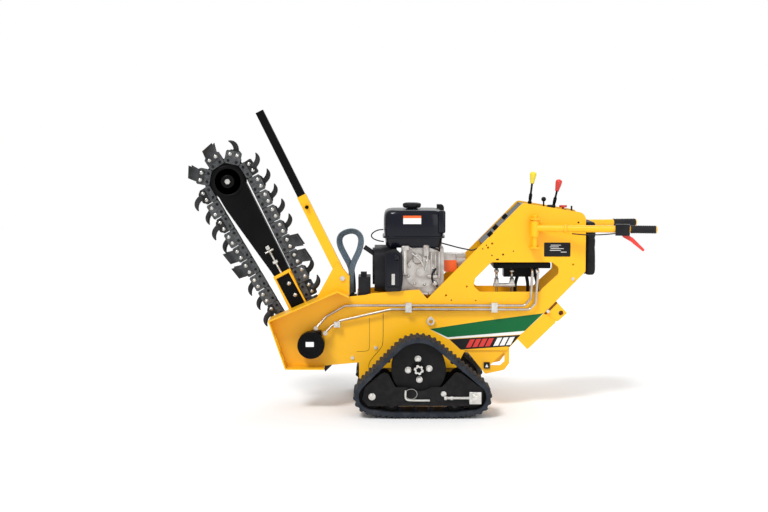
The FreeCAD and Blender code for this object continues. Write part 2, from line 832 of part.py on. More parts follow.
for pair in range(pair_count):
    order = pair_count - 1 - pair
    narrow = order in narrow_links
    near_side = -1 if narrow else 1
    sides = [(-plate_out, -plate_in), (plate_in, plate_out)]
    near_outline = short_link if narrow else wide_link
    far_outline = wide_link if narrow else short_link
    if order in shovel_pairs:
        near_outline = wide_link
        far_outline = wide_link
    for outline, width in ((near_outline, sides[0]), (far_outline, sides[1])):
        outer_plates.append(with_pin_holes(set_on_link(profile_solid(outline, *width), 2 * pair), 2 * pair))
    half_inner = float(size.inner_half)
    for low, high in ((-half_inner - 6, -half_inner), (half_inner, half_inner + 6)):
        inner_plates.append(set_on_link(profile_solid(inner_link, low, high), 2 * pair + 1))
    for pin in (0, 1):
        x, z, _ = chain_path.at(chain_phase + (2 * pair + pin) * step_length)
        turned = vector(x, -pin_half, z)
        core = Part.makeCylinder(float(size.pin_radius), 2 * pin_half, turned, vector(0, 1, 0))
        roller = Part.makeCylinder(
            float(size.roller_radius), 2 * half_inner - 1, vector(x, 0.5 - half_inner, z), vector(0, 1, 0)
        )
        pins.append(core.fuse(roller).removeSplitter())
    if order in shovel_pairs:
        blade = [(-26, -26), (-34, -reach + 4), (-26, -reach), (8, -tall - 8), (34, -tall - 4), (34, -26)]
        for side in (-1, 1):
            low, high = sorted((side * (plate_out + 0.0), side * (plate_out + 8)))
            foot = profile_solid([(-30, -24), (-30, -tall - 6), (30, -tall - 6), (30, -24)], low, high)
            flare = Part.makeLoft(
                [
                    Part.makePolygon([vector(u, side * (plate_out + w), v) for u, w, v in section])
                    for section in (
                        [(-30, 0, -tall - 6), (26, 0, -tall - 6), (26, 8, -tall - 6), (-30, 8, -tall - 6), (-30, 0, -tall - 6)],
                        [
                            (-38, spread - plate_out - 8, -reach),
                            (14, spread - plate_out - 8, -reach + 8),
                            (14, spread - plate_out, -reach + 8),
                            (-38, spread - plate_out, -reach),
                            (-38, spread - plate_out - 8, -reach),
                        ],
                    )
                ],
                True,
                True,
            )
            shovels.append(set_on_link(foot.fuse(flare), 2 * pair))
        bolt_faces = {-1: plate_out + 8, 1: plate_out + 8}
    else:
        side = near_side
        low, high = sorted((side * (plate_out + 0.0), side * (plate_out + 10)))
        foot = profile_solid([(-30, -22), (-30, -tall - 4), (30, -tall - 4), (30, -22)], low, high)
        low, high = sorted((side * (plate_out - 4), side * spread))
        horn = profile_solid(horn_outline, low, high)
        cups.append(set_on_link(foot.fuse(horn), 2 * pair))
        bolt_faces = {side: plate_out + 10, -side: plate_out}
    for side, outer in bolt_faces.items():
        for u in (-18, 18):
            base = vector(u, side * outer, -34)
            bolts.append(set_on_link(Part.makeCylinder(7.5, 5, base, vector(0, side, 0)), 2 * pair))

for name, pieces in (
    ("chain_outer_plates", outer_plates),
    ("chain_inner_links", inner_plates + pins),
    ("cup_teeth", cups),
    ("shovel_teeth", shovels),
    ("tooth_bolts", bolts),
):
    node(name, on_boom(solid(Part.makeCompound(pieces), "Chain")))

# ---------------------------------------------------------------- restraint post, in its own frame: x up the post
post_turn = ((0, 1, 0), -size.post_angle)


def on_post(item):
    return place(item, size.post_hinge_x, -size.post_centre, size.post_hinge_height, *post_turn)


side = size.post_side / 2
bore = side - size.post_wall
post_tube = cut(
    box((-24, size.post_length), (-side, side), (-side, side)),
    box((-30, size.post_length + 10), (-bore, bore), (-bore, bore)),
    rod("y", 8, -40, 40, 0, 0),
    rod("y", 6, -40, 40, size.post_length - 62, 0),
)
node("restraint_post", on_post(post_tube))
bar_half = size.bar_side / 2
bar = cut(
    box((size.post_length - 190, size.bar_reach), (-bar_half, bar_half), (-bar_half, bar_half)),
    rod("y", 6, -40, 40, size.post_length - 62, 0),
)
pin_x = size.post_length - 62
pin = fuse(rod("y", 5.6, -side - 16, side + 10, pin_x, 0), rod("y", 9, -side - 20, -side - 1, pin_x, 0))
node("restraint_bar", on_post(group(bar, pin)))

# ---------------------------------------------------------------- tracks, the near one first
track = size.track_centre
belt_low = -track - size.belt_width / 2
belt_high = -track + size.belt_width / 2
ground = size.belt_wall + size.lug_height
belt_circles = [
    (0, size.sprocket_height, size.sprocket_rim),
    (size.front_idler_x, size.front_idler_height, size.idler_rim),
    (size.front_roller_x, ground + size.roller_rim, size.roller_rim),
    (size.rear_roller_x, ground + size.roller_rim, size.roller_rim),
    (size.rear_idler_x, size.rear_idler_height, size.idler_rim),
]
belt_path = Loop([tuple(float(v) for v in circle) for circle in belt_circles])


def belt(low, high):
    """A belt with tread lugs outside and drive lugs inside, between two Y values."""
    wall_out = float(size.belt_wall)
    lug_out = wall_out + float(size.lug_height)
    carcass = Part.Face(belt_path.wire(low, wall_out)).extrude(vector(0, high - low, 0))
    carcass = carcass.cut(Part.Face(belt_path.wire(low - 5)).extrude(vector(0, high - low + 10, 0)))
    count = round(belt_path.length / float(size.lug_pitch))
    middle = (low + high) / 2
    blocks = []
    for index in range(count):
        x, z, normal = belt_path.at((index + 0.5) * belt_path.length / count)
        block = Part.makeBox(14, high - low, lug_out - wall_out + 3, vector(-7, low, wall_out - 3))
        blocks.append(turned_block(block, x, z, normal))
        if index % 3 == 0:
            rise = float(size.drive_lug_height)
            block = Part.makeBox(26, 40, rise + 3, vector(-13, middle - 20, -rise))
            blocks.append(turned_block(block, x, z, normal))
    return carcass.multiFuse(blocks)


def turned_block(block, x, z, normal):
    """Moves a block made upright at the origin onto the belt path."""
    block.rotate(vector(0, 0, 0), vector(0, 1, 0), 90 - math.degrees(normal))
    block.translate(vector(x, 0, z))
    return block


def wheel(radius, x, z, bore_radius, rims):
    """A double wheel of two rims on a hub, in the near track."""
    parts = [rod("y", radius, -track + low, -track + high, x, z) for low, high in rims]
    parts.append(rod("y", bore_radius + 5, -track + rims[0][0], -track + rims[-1][1], x, z))
    return cut(fuse(*parts), rod("y", bore_radius, belt_low - 10, belt_high + 10, x, z))


axle_radius = 14
axle_bore = axle_radius + size.bearing_clearance
roller_height = ground + size.roller_rim
rim_pair = ((-54, -26), (26, 54))
wheels = {
    "front_idler": (size.idler_rim - size.gap, size.front_idler_x, size.front_idler_height),
    "rear_idler": (size.idler_rim - size.gap, size.rear_idler_x, size.rear_idler_height),
    "front_roller": (size.roller_rim - size.gap, size.front_roller_x, roller_height),
    "rear_roller": (size.roller_rim - size.gap, size.rear_roller_x, roller_height),
}
rim = size.sprocket_rim - size.gap
hub_bore = 30 + size.bearing_clearance
cage = [rod("y", rim, -track + low, -track + high, 0, size.sprocket_height) for low, high in ((-42, -28), (28, 42))]
cage.append(rod("y", 60, -track - 42, -track + 52, 0, size.sprocket_height))
for step in range(12):
    spot = (104 * cosine(30 * step), size.sprocket_height + 104 * sine(30 * step))
    cage.append(rod("y", 8, -track - 42, -track + 42, *spot))
near_cage = cut(fuse(*cage), rod("y", hub_bore, -track - 50, -track + 70, 0, size.sprocket_height))
hub_face = -track - 42
hub_bolts = []
for step in range(4):
    spot = (50 * cosine(90 * step + 4), size.sprocket_height + 50 * sine(90 * step + 4))
    hub_bolts.append(hexagon("y", 12, hub_face - 12, hub_face, *spot))
near_sprocket = fuse(near_cage, *hub_bolts)

out_low = -track - size.frame_half_width
out_high = out_low + size.frame_plate_wall
in_high = -track + size.frame_half_width
in_low = in_high - size.frame_plate_wall
frame_outline = [
    (-268, 92),
    (-256, 150),
    (-180, 214),
    (-150, 222),
    (-110, 150),
    (110, 150),
    (178, 224),
    (206, 214),
    (306, 140),
    (300, 74),
    (272, 60),
    (-242, 60),
]


def frame_plate(low, high):
    body = plate([frame_outline], low, high, rounds=[(22, frame_outline[1:4] + frame_outline[6:8]), (14, frame_outline[8:10])])
    return cut(body, rod("y", 100, low - 5, high + 5, 0, size.sprocket_height))


frame_parts = [frame_plate(out_low, out_high), frame_plate(in_low, in_high)]
for _, x, z in wheels.values():
    frame_parts.append(rod("y", axle_radius, out_low, in_high, x, z))
for x, z in ((-70, 92), (60, 92)):
    frame_parts.append(rod("y", 12, out_low, in_high, x, z))
frame_parts.append(box((60, 190), (in_high, -face), (140, 200)))
frame_parts.append(box((-205, -120), (in_high, -face), (140, 200)))
near_frame = fuse(*frame_parts)
stud = [(size.front_idler_x, size.front_idler_height), (118, 118)]
frame_bolts = [hexagon("y", 13, out_low - 12, out_low, *stud[0]), hexagon("y", 11, out_low - 8, out_low, *stud[1])]
tension_block = box((239, 297), (out_low - 12, out_low), (70, 129))
tension_parts = [
    tension_block,
    hexagon("y", 17, out_low - 26, out_low - 12, size.rear_idler_x + 8, 100),
    rod("x", 8, 120, 240, out_low - 9, 100),
    hexagon("x", 9, 120, 134, out_low - 9, 100),
]
drive = fuse(
    rod("y", 58, in_high - 22, -face, 0, size.sprocket_height),
    rod("y", 30, -track - 62, in_high - 20, 0, size.sprocket_height),
    rod("y", 33.5, -inner - 1, -inner + 30, 0, size.sprocket_height),
)
castle = hexagon("y", 22, -track - 72, -track - 54, 0, size.sprocket_height)
near_tensioner = group(fuse(*tension_parts), *frame_bolts)
near_drive = fuse(drive, castle)
node("track_frames", group(near_frame, mirror(near_frame)))
node("drive_motors", group(near_drive, mirror(near_drive)))
node("near_sprocket", near_sprocket)
node("far_sprocket", mirror(near_sprocket))
for name, (radius, x, z) in wheels.items():
    near_wheel = wheel(radius, x, z, axle_bore, rim_pair)
    if "roller" in name:
        node(name + "s", group(near_wheel, mirror(near_wheel)))
    else:
        node("near_" + name, near_wheel)
        node("far_" + name, mirror(near_wheel))
near_belt = belt(float(belt_low), float(belt_high))
far_belt = belt(-float(belt_high), -float(belt_low))
node("track_belts", solid(Part.makeCompound([near_belt, far_belt]), "Belts"))
lock_pin = fuse(
    tube([(-70, out_low - 6, 112), (-20, out_low - 6, 112), (-14, out_low - 6, 88)], 6, 8),
    rod("y", 7, out_low - 12, out_low, -62, 112),
)
node("track_tensioners", group(near_tensioner, mirror(near_tensioner), lock_pin, mirror(lock_pin)))

# ---------------------------------------------------------------- engine and pump
crank = size.crank_height
case_low = 558
engine_side = size.engine_half_width
crankcase = plate(
    [[(-88, case_low), (111, case_low), (111, 770), (60, 790), (-60, 790), (-88, 740)]],
    -engine_side + 10,
    engine_side - 30,
    rounds=[(14, [(111, 770), (60, 790), (-60, 790), (-88, 740)])],
)
case = fuse(crankcase, rod("x", 60, -100, 111, -30, crank))
cover = rod("y", 76, -engine_side - 4, -engine_side + 10, 15, 670)
boss = rod("y", 22, -engine_side - 14, -engine_side - 4, 15, 670)
shroud = plate(
    [rectangle(-140, 140, 572, 790)], size.shroud_front_x, -102, plane="YZ", rounds=[(56, rectangle(-140, 140, 572, 790))]
)
slots = [box((-226, -200), (-70, 70), (z, z + 8)) for z in range(640, 742, 16)]
recoil = cut(rod("x", 92, -222, size.shroud_front_x, 0, crank), *slots)
column = plate([[(-160, 580), (-80, 580), (-72, 640), (-78, 760), (-110, 790), (-160, 770)]], -172, -141, rounds=[(14, [(-160, 580), (-80, 580), (-110, 790), (-160, 770)])])
duct = fuse(column, box((-155, -105), (-141, -120), (600, 760)))
cylinder = box((-60, 90), (60, 190), (600, 750))
fins = [box((-70, 100), (60, 186), (z, z + 5)) for z in range(608, 748, 13)]
head_cover = box((-50, 80), (190, 206), (615, 735))
node("engine_block", fuse(case, cover, boss, cylinder, head_cover, *fins))
tank_low = (size.tank_front_x, size.tank_rear_x)
tank_side = size.tank_half_width
tank_top_box = plate(
    [rectangle(tank_low[0], tank_low[1], size.tank_bottom + 46, size.tank_top)],
    -tank_side,
    tank_side,
    rounds=[(26, rectangle(tank_low[0], tank_low[1], size.tank_bottom + 46, size.tank_top)[2:])],
)
tank_base = box((tank_low[0] + 8, tank_low[1] - 18), (-tank_side + 14, tank_side - 30), (790, size.tank_bottom + 46))
cap_x = -27
cap_y = -40
neck = rod("z", 24, size.tank_top, size.tank_top + 6, cap_x, cap_y)
node("fuel_tank", fuse(tank_top_box, tank_base, neck))
cap = [rod("z", 44, size.tank_top + 7, size.tank_top + 34, cap_x, cap_y)]
for step in range(6):
    cap.append(rod("z", 9, size.tank_top + 7, size.tank_top + 34, cap_x + 40 * cosine(60 * step), cap_y + 40 * sine(60 * step)))
node("fuel_cap", fuse(*cap))
air = plate([rectangle(104, 140, 866, 990)], 151, 205, rounds=[(16, rectangle(104, 140, 866, 990)[1:3])])
node("air_cleaner", fuse(box((-30, 104), (151, 205), (800, 930)), air))
muffler = plate([rectangle(-20, 130, 760, 800)], 151, 225, rounds=[(12, rectangle(-20, 130, 760, 800))])
node("muffler", fuse(muffler, box((0, 60), (190, 206), (735, 762))))
exhaust = tube([(-206, -60, 752), (-230, -60, 768), (-262, -60, 790)], 12, 20)
node("fan_shroud", fuse(shroud, recoil, duct, exhaust))
bell_x = (size.crankcase_rear_x, size.crankcase_rear_x + 18)
bell = fuse(box(bell_x, (-120, 90), (558, 786)), rod("x", 70, *bell_x, 0, crank))
pump = fuse(
    rod("x", 44, bell_x[1], size.pump_end_x, -20, 716),
    box((bell_x[1], bell_x[1] + 60), (-72, 20), (676, 756)),
    box((bell_x[1] + 70, size.pump_end_x), (-60, 20), (690, 744)),
)
node("hydraulic_pump", fuse(bell, pump))
node("throttle_cable", tube([(118, -100, 812), (200, -104, 790), (268, -110, 776), (330, -120, 800)], 3.2, 30))

# ---------------------------------------------------------------- hydraulics
node("hydraulic_tank", box((60, 440), (-120, 120), (300, 520)))
saddle = box((-346, -300), (-72, -8), (541, 552))
filter_box = fuse(box((-292, -232), (-120, 40), (541, 645)), box((-280, -250), (-100, -60), (645, 668)))
node("hose_box", fuse(filter_box, saddle))
valve_beam = box((440, 560), (-inner, inner), (728, 736))
valve = [box((430, 590), (-50, 40), (640, 728))]
for index in range(4):
    valve.append(rod("y", 12, -76, -50, 450 + 36 * index, 690))
node("control_valve", fuse(valve_beam, *valve))
tube_y = -size.tube_plane
upper = [(-497, 402), (-447, 458), (-355, 511), (523, 511), (553, 545), (560, 680)]
lower = [(-452, 378), (-424, 408), (-376, 437), (-131, 492), (548, 492), (576, 522), (588, 680)]
tubes = []
for route in (upper, lower):
    points = [(x, tube_y, z) for x, z in route]
    points[0] = (points[0][0], tube_y - 18, points[0][2])
    points.append((route[-1][0], -120, route[-1][1] + 8))
    tubes.append(tube(points, size.tube_radius, 15))
for x, z in ((-497, 402), (-452, 378)):
    tubes.append(rod("y", 11, tube_y - 30, tube_y - 6, x, z))
clamp = fuse(
    box((-410, -380), (-186, -face), (404, 432)),
    rod("y", 9, -196, -186, -395, 418),
)
blocks = [clamp] + [box((x, x + 30), (-190, -face), (478, 525)) for x in (-60, 360)]
clamps = [cut(block_item, *tubes) for block_item in blocks]
node("steel_tubes", group(*tubes))
sleeve_route = [(-340, 552.5), (-334, 640), (-322, 720), (-286, 776), (-284, 850), (-330, 868), (-386, 846), (-384, 790), (-330, 700), (-318, 640), (-312, 552.5)]
node("hose_sleeve", band(sleeve_route, 40, 7, 18, -40))

# ---------------------------------------------------------------- handles
hinge_y = size.handle_hinge_y
handle_z = size.handle_height
splay = size.handle_splay
post_rod = rod("z", 12, handle_z - 104, handle_z + 56, size.handle_hinge_x, -hinge_y)
tabs = []
for z in (handle_z - 98, handle_z + 42):
    tabs.append(box((size.handle_hinge_x - 22, size.handle_hinge_x + 22), (-hinge_y - 18, -face), (z, z + 6)))
near_mount = fuse(post_rod, *tabs, hexagon("z", 15, handle_z + 56, handle_z + 66, size.handle_hinge_x, -hinge_y))
node("handle_mounts", group(near_mount, mirror(near_mount)))


def on_handle(item):
    return place(item, size.handle_hinge_x, -hinge_y, handle_z, (0, 0, 1), -splay)


pivot_bore = rod("z", 12 + size.bearing_clearance, -60, 60, 0, 0)
bar_parts = [
    rod("x", size.handle_radius, 10, size.handle_length, 0, 0),
    rod("z", 20, -40, 34, 0, 0),
    rod("x", 20, 140, 158, 0, 0),
]
near_bar = on_handle(cut(fuse(*bar_parts), pivot_bore))
node("near_handlebar", near_bar)
node("far_handlebar", mirror(near_bar))
grip_start = size.handle_length - size.grip_length
grip = cut(
    rod("x", size.grip_radius, grip_start, size.handle_length + 4, 0, 0),
    rod("x", size.handle_radius, grip_start - 5, size.handle_length, 0, 0),
)
near_grip = on_handle(grip)
node("near_grip", near_grip)
node("far_grip", mirror(near_grip))
block = cut(
    box((388, 456), (-24, 24), (-30, 24)),
    rod("x", size.handle_radius, 380, 470, 0, 0),
    box((404, 470), (-13, 13), (-50, -12)),
)
trigger_outline = [(414, -24), (430, -20), (470, -40), (528, -98), (520, -106), (460, -58), (424, -38)]
trigger = cut(plate([trigger_outline], -9, 9, rounds=[(4, trigger_outline[3:5])]), rod("y", 4.1, -20, 20, 424, -27))
node("presence_lever", on_handle(trigger))
node("lever_block", on_handle(fuse(block, rod("y", 4, -20, 20, 424, -27))))

# ---------------------------------------------------------------- console controls
fall = (size.console_rear_height - size.console_front_height) / (size.console_rear_x - size.console_front_x)


def panel_height(x):
    """Height of the console's top face at x."""
    return size.console_front_height - 8 + (x - size.console_front_x) * fall


def control_lever(x, y, tip_x, tip_z):
    """A stick that leans to its knob, with its ball pivot under the panel."""
    base = panel_height(x)
    lean = math.degrees(math.atan2(tip_x - x, tip_z - float(base)))
    length = math.hypot(tip_x - x, tip_z - float(base))
    parts = [
        rod("z", 5, 2, length - 60, 0, 0),
        rod("z", 12, length - 62, length - 12, 0, 0),
        rod("z", 18, length - 40, length, 0, 0),
    ]
    ball = doc.addObject("Part::Sphere", "Ball")
    ball.Radius = 10.5
    stick = fuse(*parts, ball, rod("y", 6, -15, 15, 0, 0))
    return place(stick, x, y, base + 12, (0, 1, 0), lean)


node("boom_lever", control_lever(559, -20, 577, 1150))
node("drive_lever", control_lever(683, 30, 712, 1108))
fittings = [rod("z", 24, panel_height(x) - 4, panel_height(x) + 1, x, y) for x, y in ((559, -20), (683, 30))]
stop_x, stop_y = 720, -60
stop_base = panel_height(stop_x)
stop_ring = rod("z", 17, stop_base - 4, stop_base + 6, stop_x, stop_y)
fittings.append(cut(stop_ring, rod("z", 6.5, stop_base - 1, stop_base + 8, stop_x, stop_y)))
key_base = panel_height(762)
fittings.append(
    fuse(rod("z", 14, key_base - 4, key_base + 6, 762, -60), box((758, 766), (-63, -57), (key_base + 6, key_base + 30)))
)
node("console_fittings", group(*fittings))
stem = rod("z", 6, stop_base + 8, stop_base + 16, stop_x, stop_y)
node("stop_button", fuse(stem, rod("z", 19, stop_base + 16, stop_base + 26, stop_x, stop_y)))

# ---------------------------------------------------------------- fasteners on the chassis
lift_eye = fuse(
    rod("y", 9, -face - 10, -face, 64, 446),
    cut(rod("y", 19, -face - 16, -face - 9, 64, 431), rod("y", 11, -face - 20, -face, 64, 431)),
)
screws = [hexagon("y", 9, -face - 6, -face, x, z) for x, z in ((-205, 300), (-320, 250), (640, 480), (760, 640))]
node("frame_bolts", group(lift_eye, hinge_bolt, *clamps, *screws))

doc.recompute()
faults = [item.Name for item in doc.Objects if {"Invalid", "Error"} & set(item.State)]
if faults:
    raise ValueError("objects that failed: %s" % faults)
labels = [item.Label for item in nodes]
if len(set(labels)) != len(labels):
    raise ValueError("two sub-parts share a name")
os.makedirs("parts", exist_ok=True)
for item in nodes:
    if item.Shape.isNull() or not item.Shape.isValid():
        raise ValueError("%s has no valid shape" % item.Label)
for item in nodes:
    item.Shape.exportStep("parts/%s.step" % item.Label)
print("%d sub-parts written" % len(nodes))
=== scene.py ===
import json
import math

import bmesh
import bpy
import numpy as np
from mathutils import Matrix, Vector


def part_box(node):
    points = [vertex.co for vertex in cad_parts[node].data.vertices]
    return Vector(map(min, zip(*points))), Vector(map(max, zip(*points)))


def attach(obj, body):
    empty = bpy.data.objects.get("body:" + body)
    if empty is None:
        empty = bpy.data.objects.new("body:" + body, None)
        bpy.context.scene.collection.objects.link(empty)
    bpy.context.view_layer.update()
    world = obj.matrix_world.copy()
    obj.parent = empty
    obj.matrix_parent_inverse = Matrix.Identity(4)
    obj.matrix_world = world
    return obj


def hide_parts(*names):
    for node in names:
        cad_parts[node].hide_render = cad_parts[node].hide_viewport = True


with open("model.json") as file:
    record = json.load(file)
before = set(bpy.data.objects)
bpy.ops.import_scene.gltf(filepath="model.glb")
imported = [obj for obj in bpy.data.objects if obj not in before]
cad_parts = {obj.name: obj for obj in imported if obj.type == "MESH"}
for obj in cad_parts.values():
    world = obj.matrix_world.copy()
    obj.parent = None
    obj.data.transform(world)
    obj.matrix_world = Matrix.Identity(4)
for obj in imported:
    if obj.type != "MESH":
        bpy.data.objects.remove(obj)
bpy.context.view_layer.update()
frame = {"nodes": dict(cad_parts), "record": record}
nodes = frame["nodes"]


# ------------------------------------------------------------------ mesh tools

def weld(piece):
    """Merges doubled points and turns all faces outward."""
    sheet = bmesh.new()
    sheet.from_mesh(piece.data)
    bmesh.ops.remove_doubles(sheet, verts=sheet.verts, dist=1e-6)
    bmesh.ops.recalc_face_normals(sheet, faces=sheet.faces)
    sheet.to_mesh(piece.data)
    sheet.free()


def new_piece(name, points, faces, look, body, slot, smooth=True):
    """A welded mesh object from points and faces, with its finish, riding on a body."""
    mesh = bpy.data.meshes.new(name)
    mesh.from_pydata(np.asarray(points, float).tolist(), [], faces)
    mesh.update()
    mesh.materials.append(look)
    piece = bpy.data.objects.new(name, mesh)
    bpy.context.scene.collection.objects.link(piece)
    if smooth:
        mesh.polygons.foreach_set("use_smooth", [True] * len(mesh.polygons))
    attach(piece, body)
    weld(piece)
    return piece


def crisp(piece, degrees):
    """Splits the shading along edges sharper than an angle."""
    piece.modifiers.new("soft_edges", "EDGE_SPLIT").split_angle = math.radians(degrees)


def grid_faces(rows, columns, wrap_rows=False, wrap_columns=False):
    """Quads of a grid whose point (i, j) is number i * columns + j."""
    i = np.arange(rows if wrap_rows else rows - 1)
    j = np.arange(columns if wrap_columns else columns - 1)
    i, j = np.meshgrid(i, j, indexing="ij")
    following_i = (i + 1) % rows
    following_j = (j + 1) % columns
    here, below = i * columns, following_i * columns
    quads = np.stack([here + j, here + following_j, below + following_j, below + j], axis=-1)
    return [tuple(q) for q in quads.reshape(-1, 4).tolist()]


def closed_faces(rows, columns):
    """Quads round a tube made of rings, with one face across each end."""
    faces = grid_faces(rows, columns, wrap_columns=True)
    last_ring = (rows - 1) * columns
    return faces + [tuple(range(columns - 1, -1, -1)), tuple(range(last_ring, last_ring + columns))]


def frames_along(path):
    """Unit tangents and two unit normals along a path, carried without twist.

    The second normal is the tangent crossed with a fixed side direction, so the frame needs no memory.
    """
    tangents = np.gradient(path, axis=0)
    tangents /= np.linalg.norm(tangents, axis=1, keepdims=True)
    spread = np.ptp(path, axis=0)
    side = np.zeros(3)
    side[int(np.argmin(spread))] = 1.0
    first = np.cross(tangents, side)
    first /= np.linalg.norm(first, axis=1, keepdims=True)
    second = np.cross(first, tangents)
    return tangents, first, second


def sweep(path, outline):
    """Points and faces of an outline (u, v) carried along a path: point = path + u * first + v * second."""
    path = np.asarray(path, float)
    outline = np.asarray(outline, float)
    _, first, second = frames_along(path)
    u, v = outline[None, :, :1], outline[None, :, 1:]
    points = path[:, None, :] + u * first[:, None, :] + v * second[:, None, :]
    return points.reshape(-1, 3), closed_faces(len(path), len(outline))


def circle(radius, count=14):
    """A circle of the given radius as (u, v) points."""
    turn = np.linspace(0, 2 * math.pi, count, endpoint=False)
    return np.stack([radius * np.cos(turn), radius * np.sin(turn)], axis=1)


def smooth_path(corners, count=60, rounds=3):
    """A path through corners, softened by cutting each corner at a quarter, several times."""
    path = np.asarray(corners, float)
    for _ in range(rounds):
        quarter = path[:-1] * 0.75 + path[1:] * 0.25
        three = path[:-1] * 0.25 + path[1:] * 0.75
        inner = np.stack([quarter, three], axis=1).reshape(-1, 3)
        path = np.concatenate([path[:1], inner, path[-1:]])
    steps = np.r_[0, np.cumsum(np.linalg.norm(np.diff(path, axis=0), axis=1))]
    wanted = np.linspace(0, steps[-1], count)
    return np.stack([np.interp(wanted, steps, path[:, k]) for k in range(3)], axis=1)


def turned(profile, centre, axis, count=32):
    """A profile of (distance along the axis, radius) points turned about an axis through centre."""
    profile = np.asarray(profile, float)
    axis = np.asarray(axis, float) / np.linalg.norm(axis)
    helper = np.array([0.0, 0.0, 1.0]) if abs(axis[2]) < 0.9 else np.array([1.0, 0.0, 0.0])
    across = np.cross(axis, helper)
    across /= np.linalg.norm(across)
    upward = np.cross(axis, across)
    turn = np.linspace(0, 2 * math.pi, count, endpoint=False)
    ring = np.cos(turn)[:, None] * across + np.sin(turn)[:, None] * upward
    points = (
        np.asarray(centre, float)
        + profile[:, None, :1] * axis
        + profile[:, None, 1:] * ring[None, :, :]
    )
    return points.reshape(-1, 3), closed_faces(len(profile), count)


def prism(near_outline, far_outline, near, far):
    """A solid between two outlines of as many (x, z) points, each at its own Y value."""
    count = len(near_outline)
    points = [np.column_stack([outline[:, 0], np.full(count, y), outline[:, 1]])
              for outline, y in ((near_outline, near), (far_outline, far))]
    faces = [tuple(range(count)), tuple(range(2 * count - 1, count - 1, -1))]
    faces += [((k + 1) % count, k, count + k, count + (k + 1) % count) for k in range(count)]
    return np.concatenate(points), faces


def slab(outline, low, high):
    """A flat plate: an outline of (x, z) points between two Y values."""
    outline = np.asarray(outline, float)
    return prism(outline, outline, low, high)


def rounded_block(low, high, radius, steps=5):
    """A block with rounded edges: a cube grid point p goes to clamp(p) + radius * direction of the rest."""
    low, high = np.asarray(low, float), np.asarray(high, float)
    half = (high - low) / 2
    radius = min(radius, *half) * 0.999
    inner = half - radius
    t = np.tan(np.linspace(-math.pi / 4, math.pi / 4, steps * 2))
    a, b = np.meshgrid(t, t, indexing="ij")
    points = []
    faces = []
    for axis in range(3):
        for side in (-1, 1):
            unit = np.zeros(a.shape + (3,))
            unit[..., axis] = side
            unit[..., (axis + 1) % 3] = a * side
            unit[..., (axis + 2) % 3] = b
            sign = np.sign(unit)
            sign[..., axis] = side
            direction = unit / np.linalg.norm(unit, axis=-1, keepdims=True)
            faces += [tuple(np.array(f) + len(points) * a.size) for f in grid_faces(*a.shape)]
            points.append(((low + high) / 2 + sign * inner + direction * radius).reshape(-1, 3))
    return np.concatenate(points), [tuple(int(v) for v in f[::-1]) for f in faces]


def joined(*parts):
    """Several (points, faces) pairs as one pair."""
    points = []
    faces = []
    start = 0
    for part_points, part_faces in parts:
        points.append(np.asarray(part_points, float))
        faces += [tuple(v + start for v in f) for f in part_faces]
        start += len(part_points)
    return np.concatenate(points), faces


# ------------------------------------------------------------------ shared effects

def effect_group(name, inputs, outputs, build):
    """A shader node group with named inputs and outputs, filled by build(tree, entry, leave)."""
    tree = bpy.data.node_groups.new(name, "ShaderNodeTree")
    for label, kind, value in inputs:
        socket = tree.interface.new_socket(label, in_out="INPUT", socket_type=kind)
        socket.default_value = value
    for label, kind in outputs:
        tree.interface.new_socket(label, in_out="OUTPUT", socket_type=kind)
    entry = tree.nodes.new("NodeGroupInput")
    leave = tree.nodes.new("NodeGroupOutput")
    build(tree, entry, leave)
    return tree


def add_node(tree, kind, **settings):
    """A node with its properties; keys starting with in_ set numbered inputs."""
    node = tree.nodes.new(kind)
    for key, value in settings.items():
        if key.startswith("in_"):
            node.inputs[int(key[3:])].default_value = value
        else:
            setattr(node, key, value)
    return node


def build_mottle(tree, entry, leave):
    """Colour = base mixed to a second colour by soft noise; fine noise drives roughness and height."""
    link = tree.links.new
    place = add_node(tree, "ShaderNodeTexCoord")
    noise = add_node(tree, "ShaderNodeTexNoise")
    noise.inputs["Detail"].default_value = 6.0
    fine = add_node(tree, "ShaderNodeTexNoise")
    fine.inputs["Detail"].default_value = 3.0
    link(place.outputs["Object"], noise.inputs["Vector"])
    link(place.outputs["Object"], fine.inputs["Vector"])
    link(entry.outputs["Scale"], noise.inputs["Scale"])
    link(entry.outputs["Grain Scale"], fine.inputs["Scale"])
    ramp = add_node(tree, "ShaderNodeMapRange", in_1=0.4, in_2=0.7)
    link(noise.outputs["Fac"], ramp.inputs["Value"])
    amount = add_node(tree, "ShaderNodeMath", operation="MULTIPLY")
    link(ramp.outputs["Result"], amount.inputs[0])
    link(entry.outputs["Amount"], amount.inputs[1])
    mix = add_node(tree, "ShaderNodeMix", data_type="RGBA")
    link(amount.outputs[0], mix.inputs["Factor"])
    link(entry.outputs["Base"], mix.inputs[6])
    link(entry.outputs["Second"], mix.inputs[7])
    link(mix.outputs[2], leave.inputs["Color"])
    rough = add_node(tree, "ShaderNodeMath", operation="MULTIPLY_ADD", in_1=0.25)
    link(fine.outputs["Fac"], rough.inputs[0])
    link(entry.outputs["Roughness"], rough.inputs[2])
    link(rough.outputs[0], leave.inputs["Roughness"])
    link(fine.outputs["Fac"], leave.inputs["Height"])


mottle = effect_group(
    "mottle",
    [
        ("Base", "NodeSocketColor", (1, 1, 1, 1)),
        ("Second", "NodeSocketColor", (0, 0, 0, 1)),
        ("Amount", "NodeSocketFloat", 0.5),
        ("Scale", "NodeSocketFloat", 12.0),
        ("Grain Scale", "NodeSocketFloat", 300.0),
        ("Roughness", "NodeSocketFloat", 0.3),
    ],
    [("Color", "NodeSocketColor"), ("Roughness", "NodeSocketFloat"), ("Height", "NodeSocketFloat")],
    build_mottle,
)


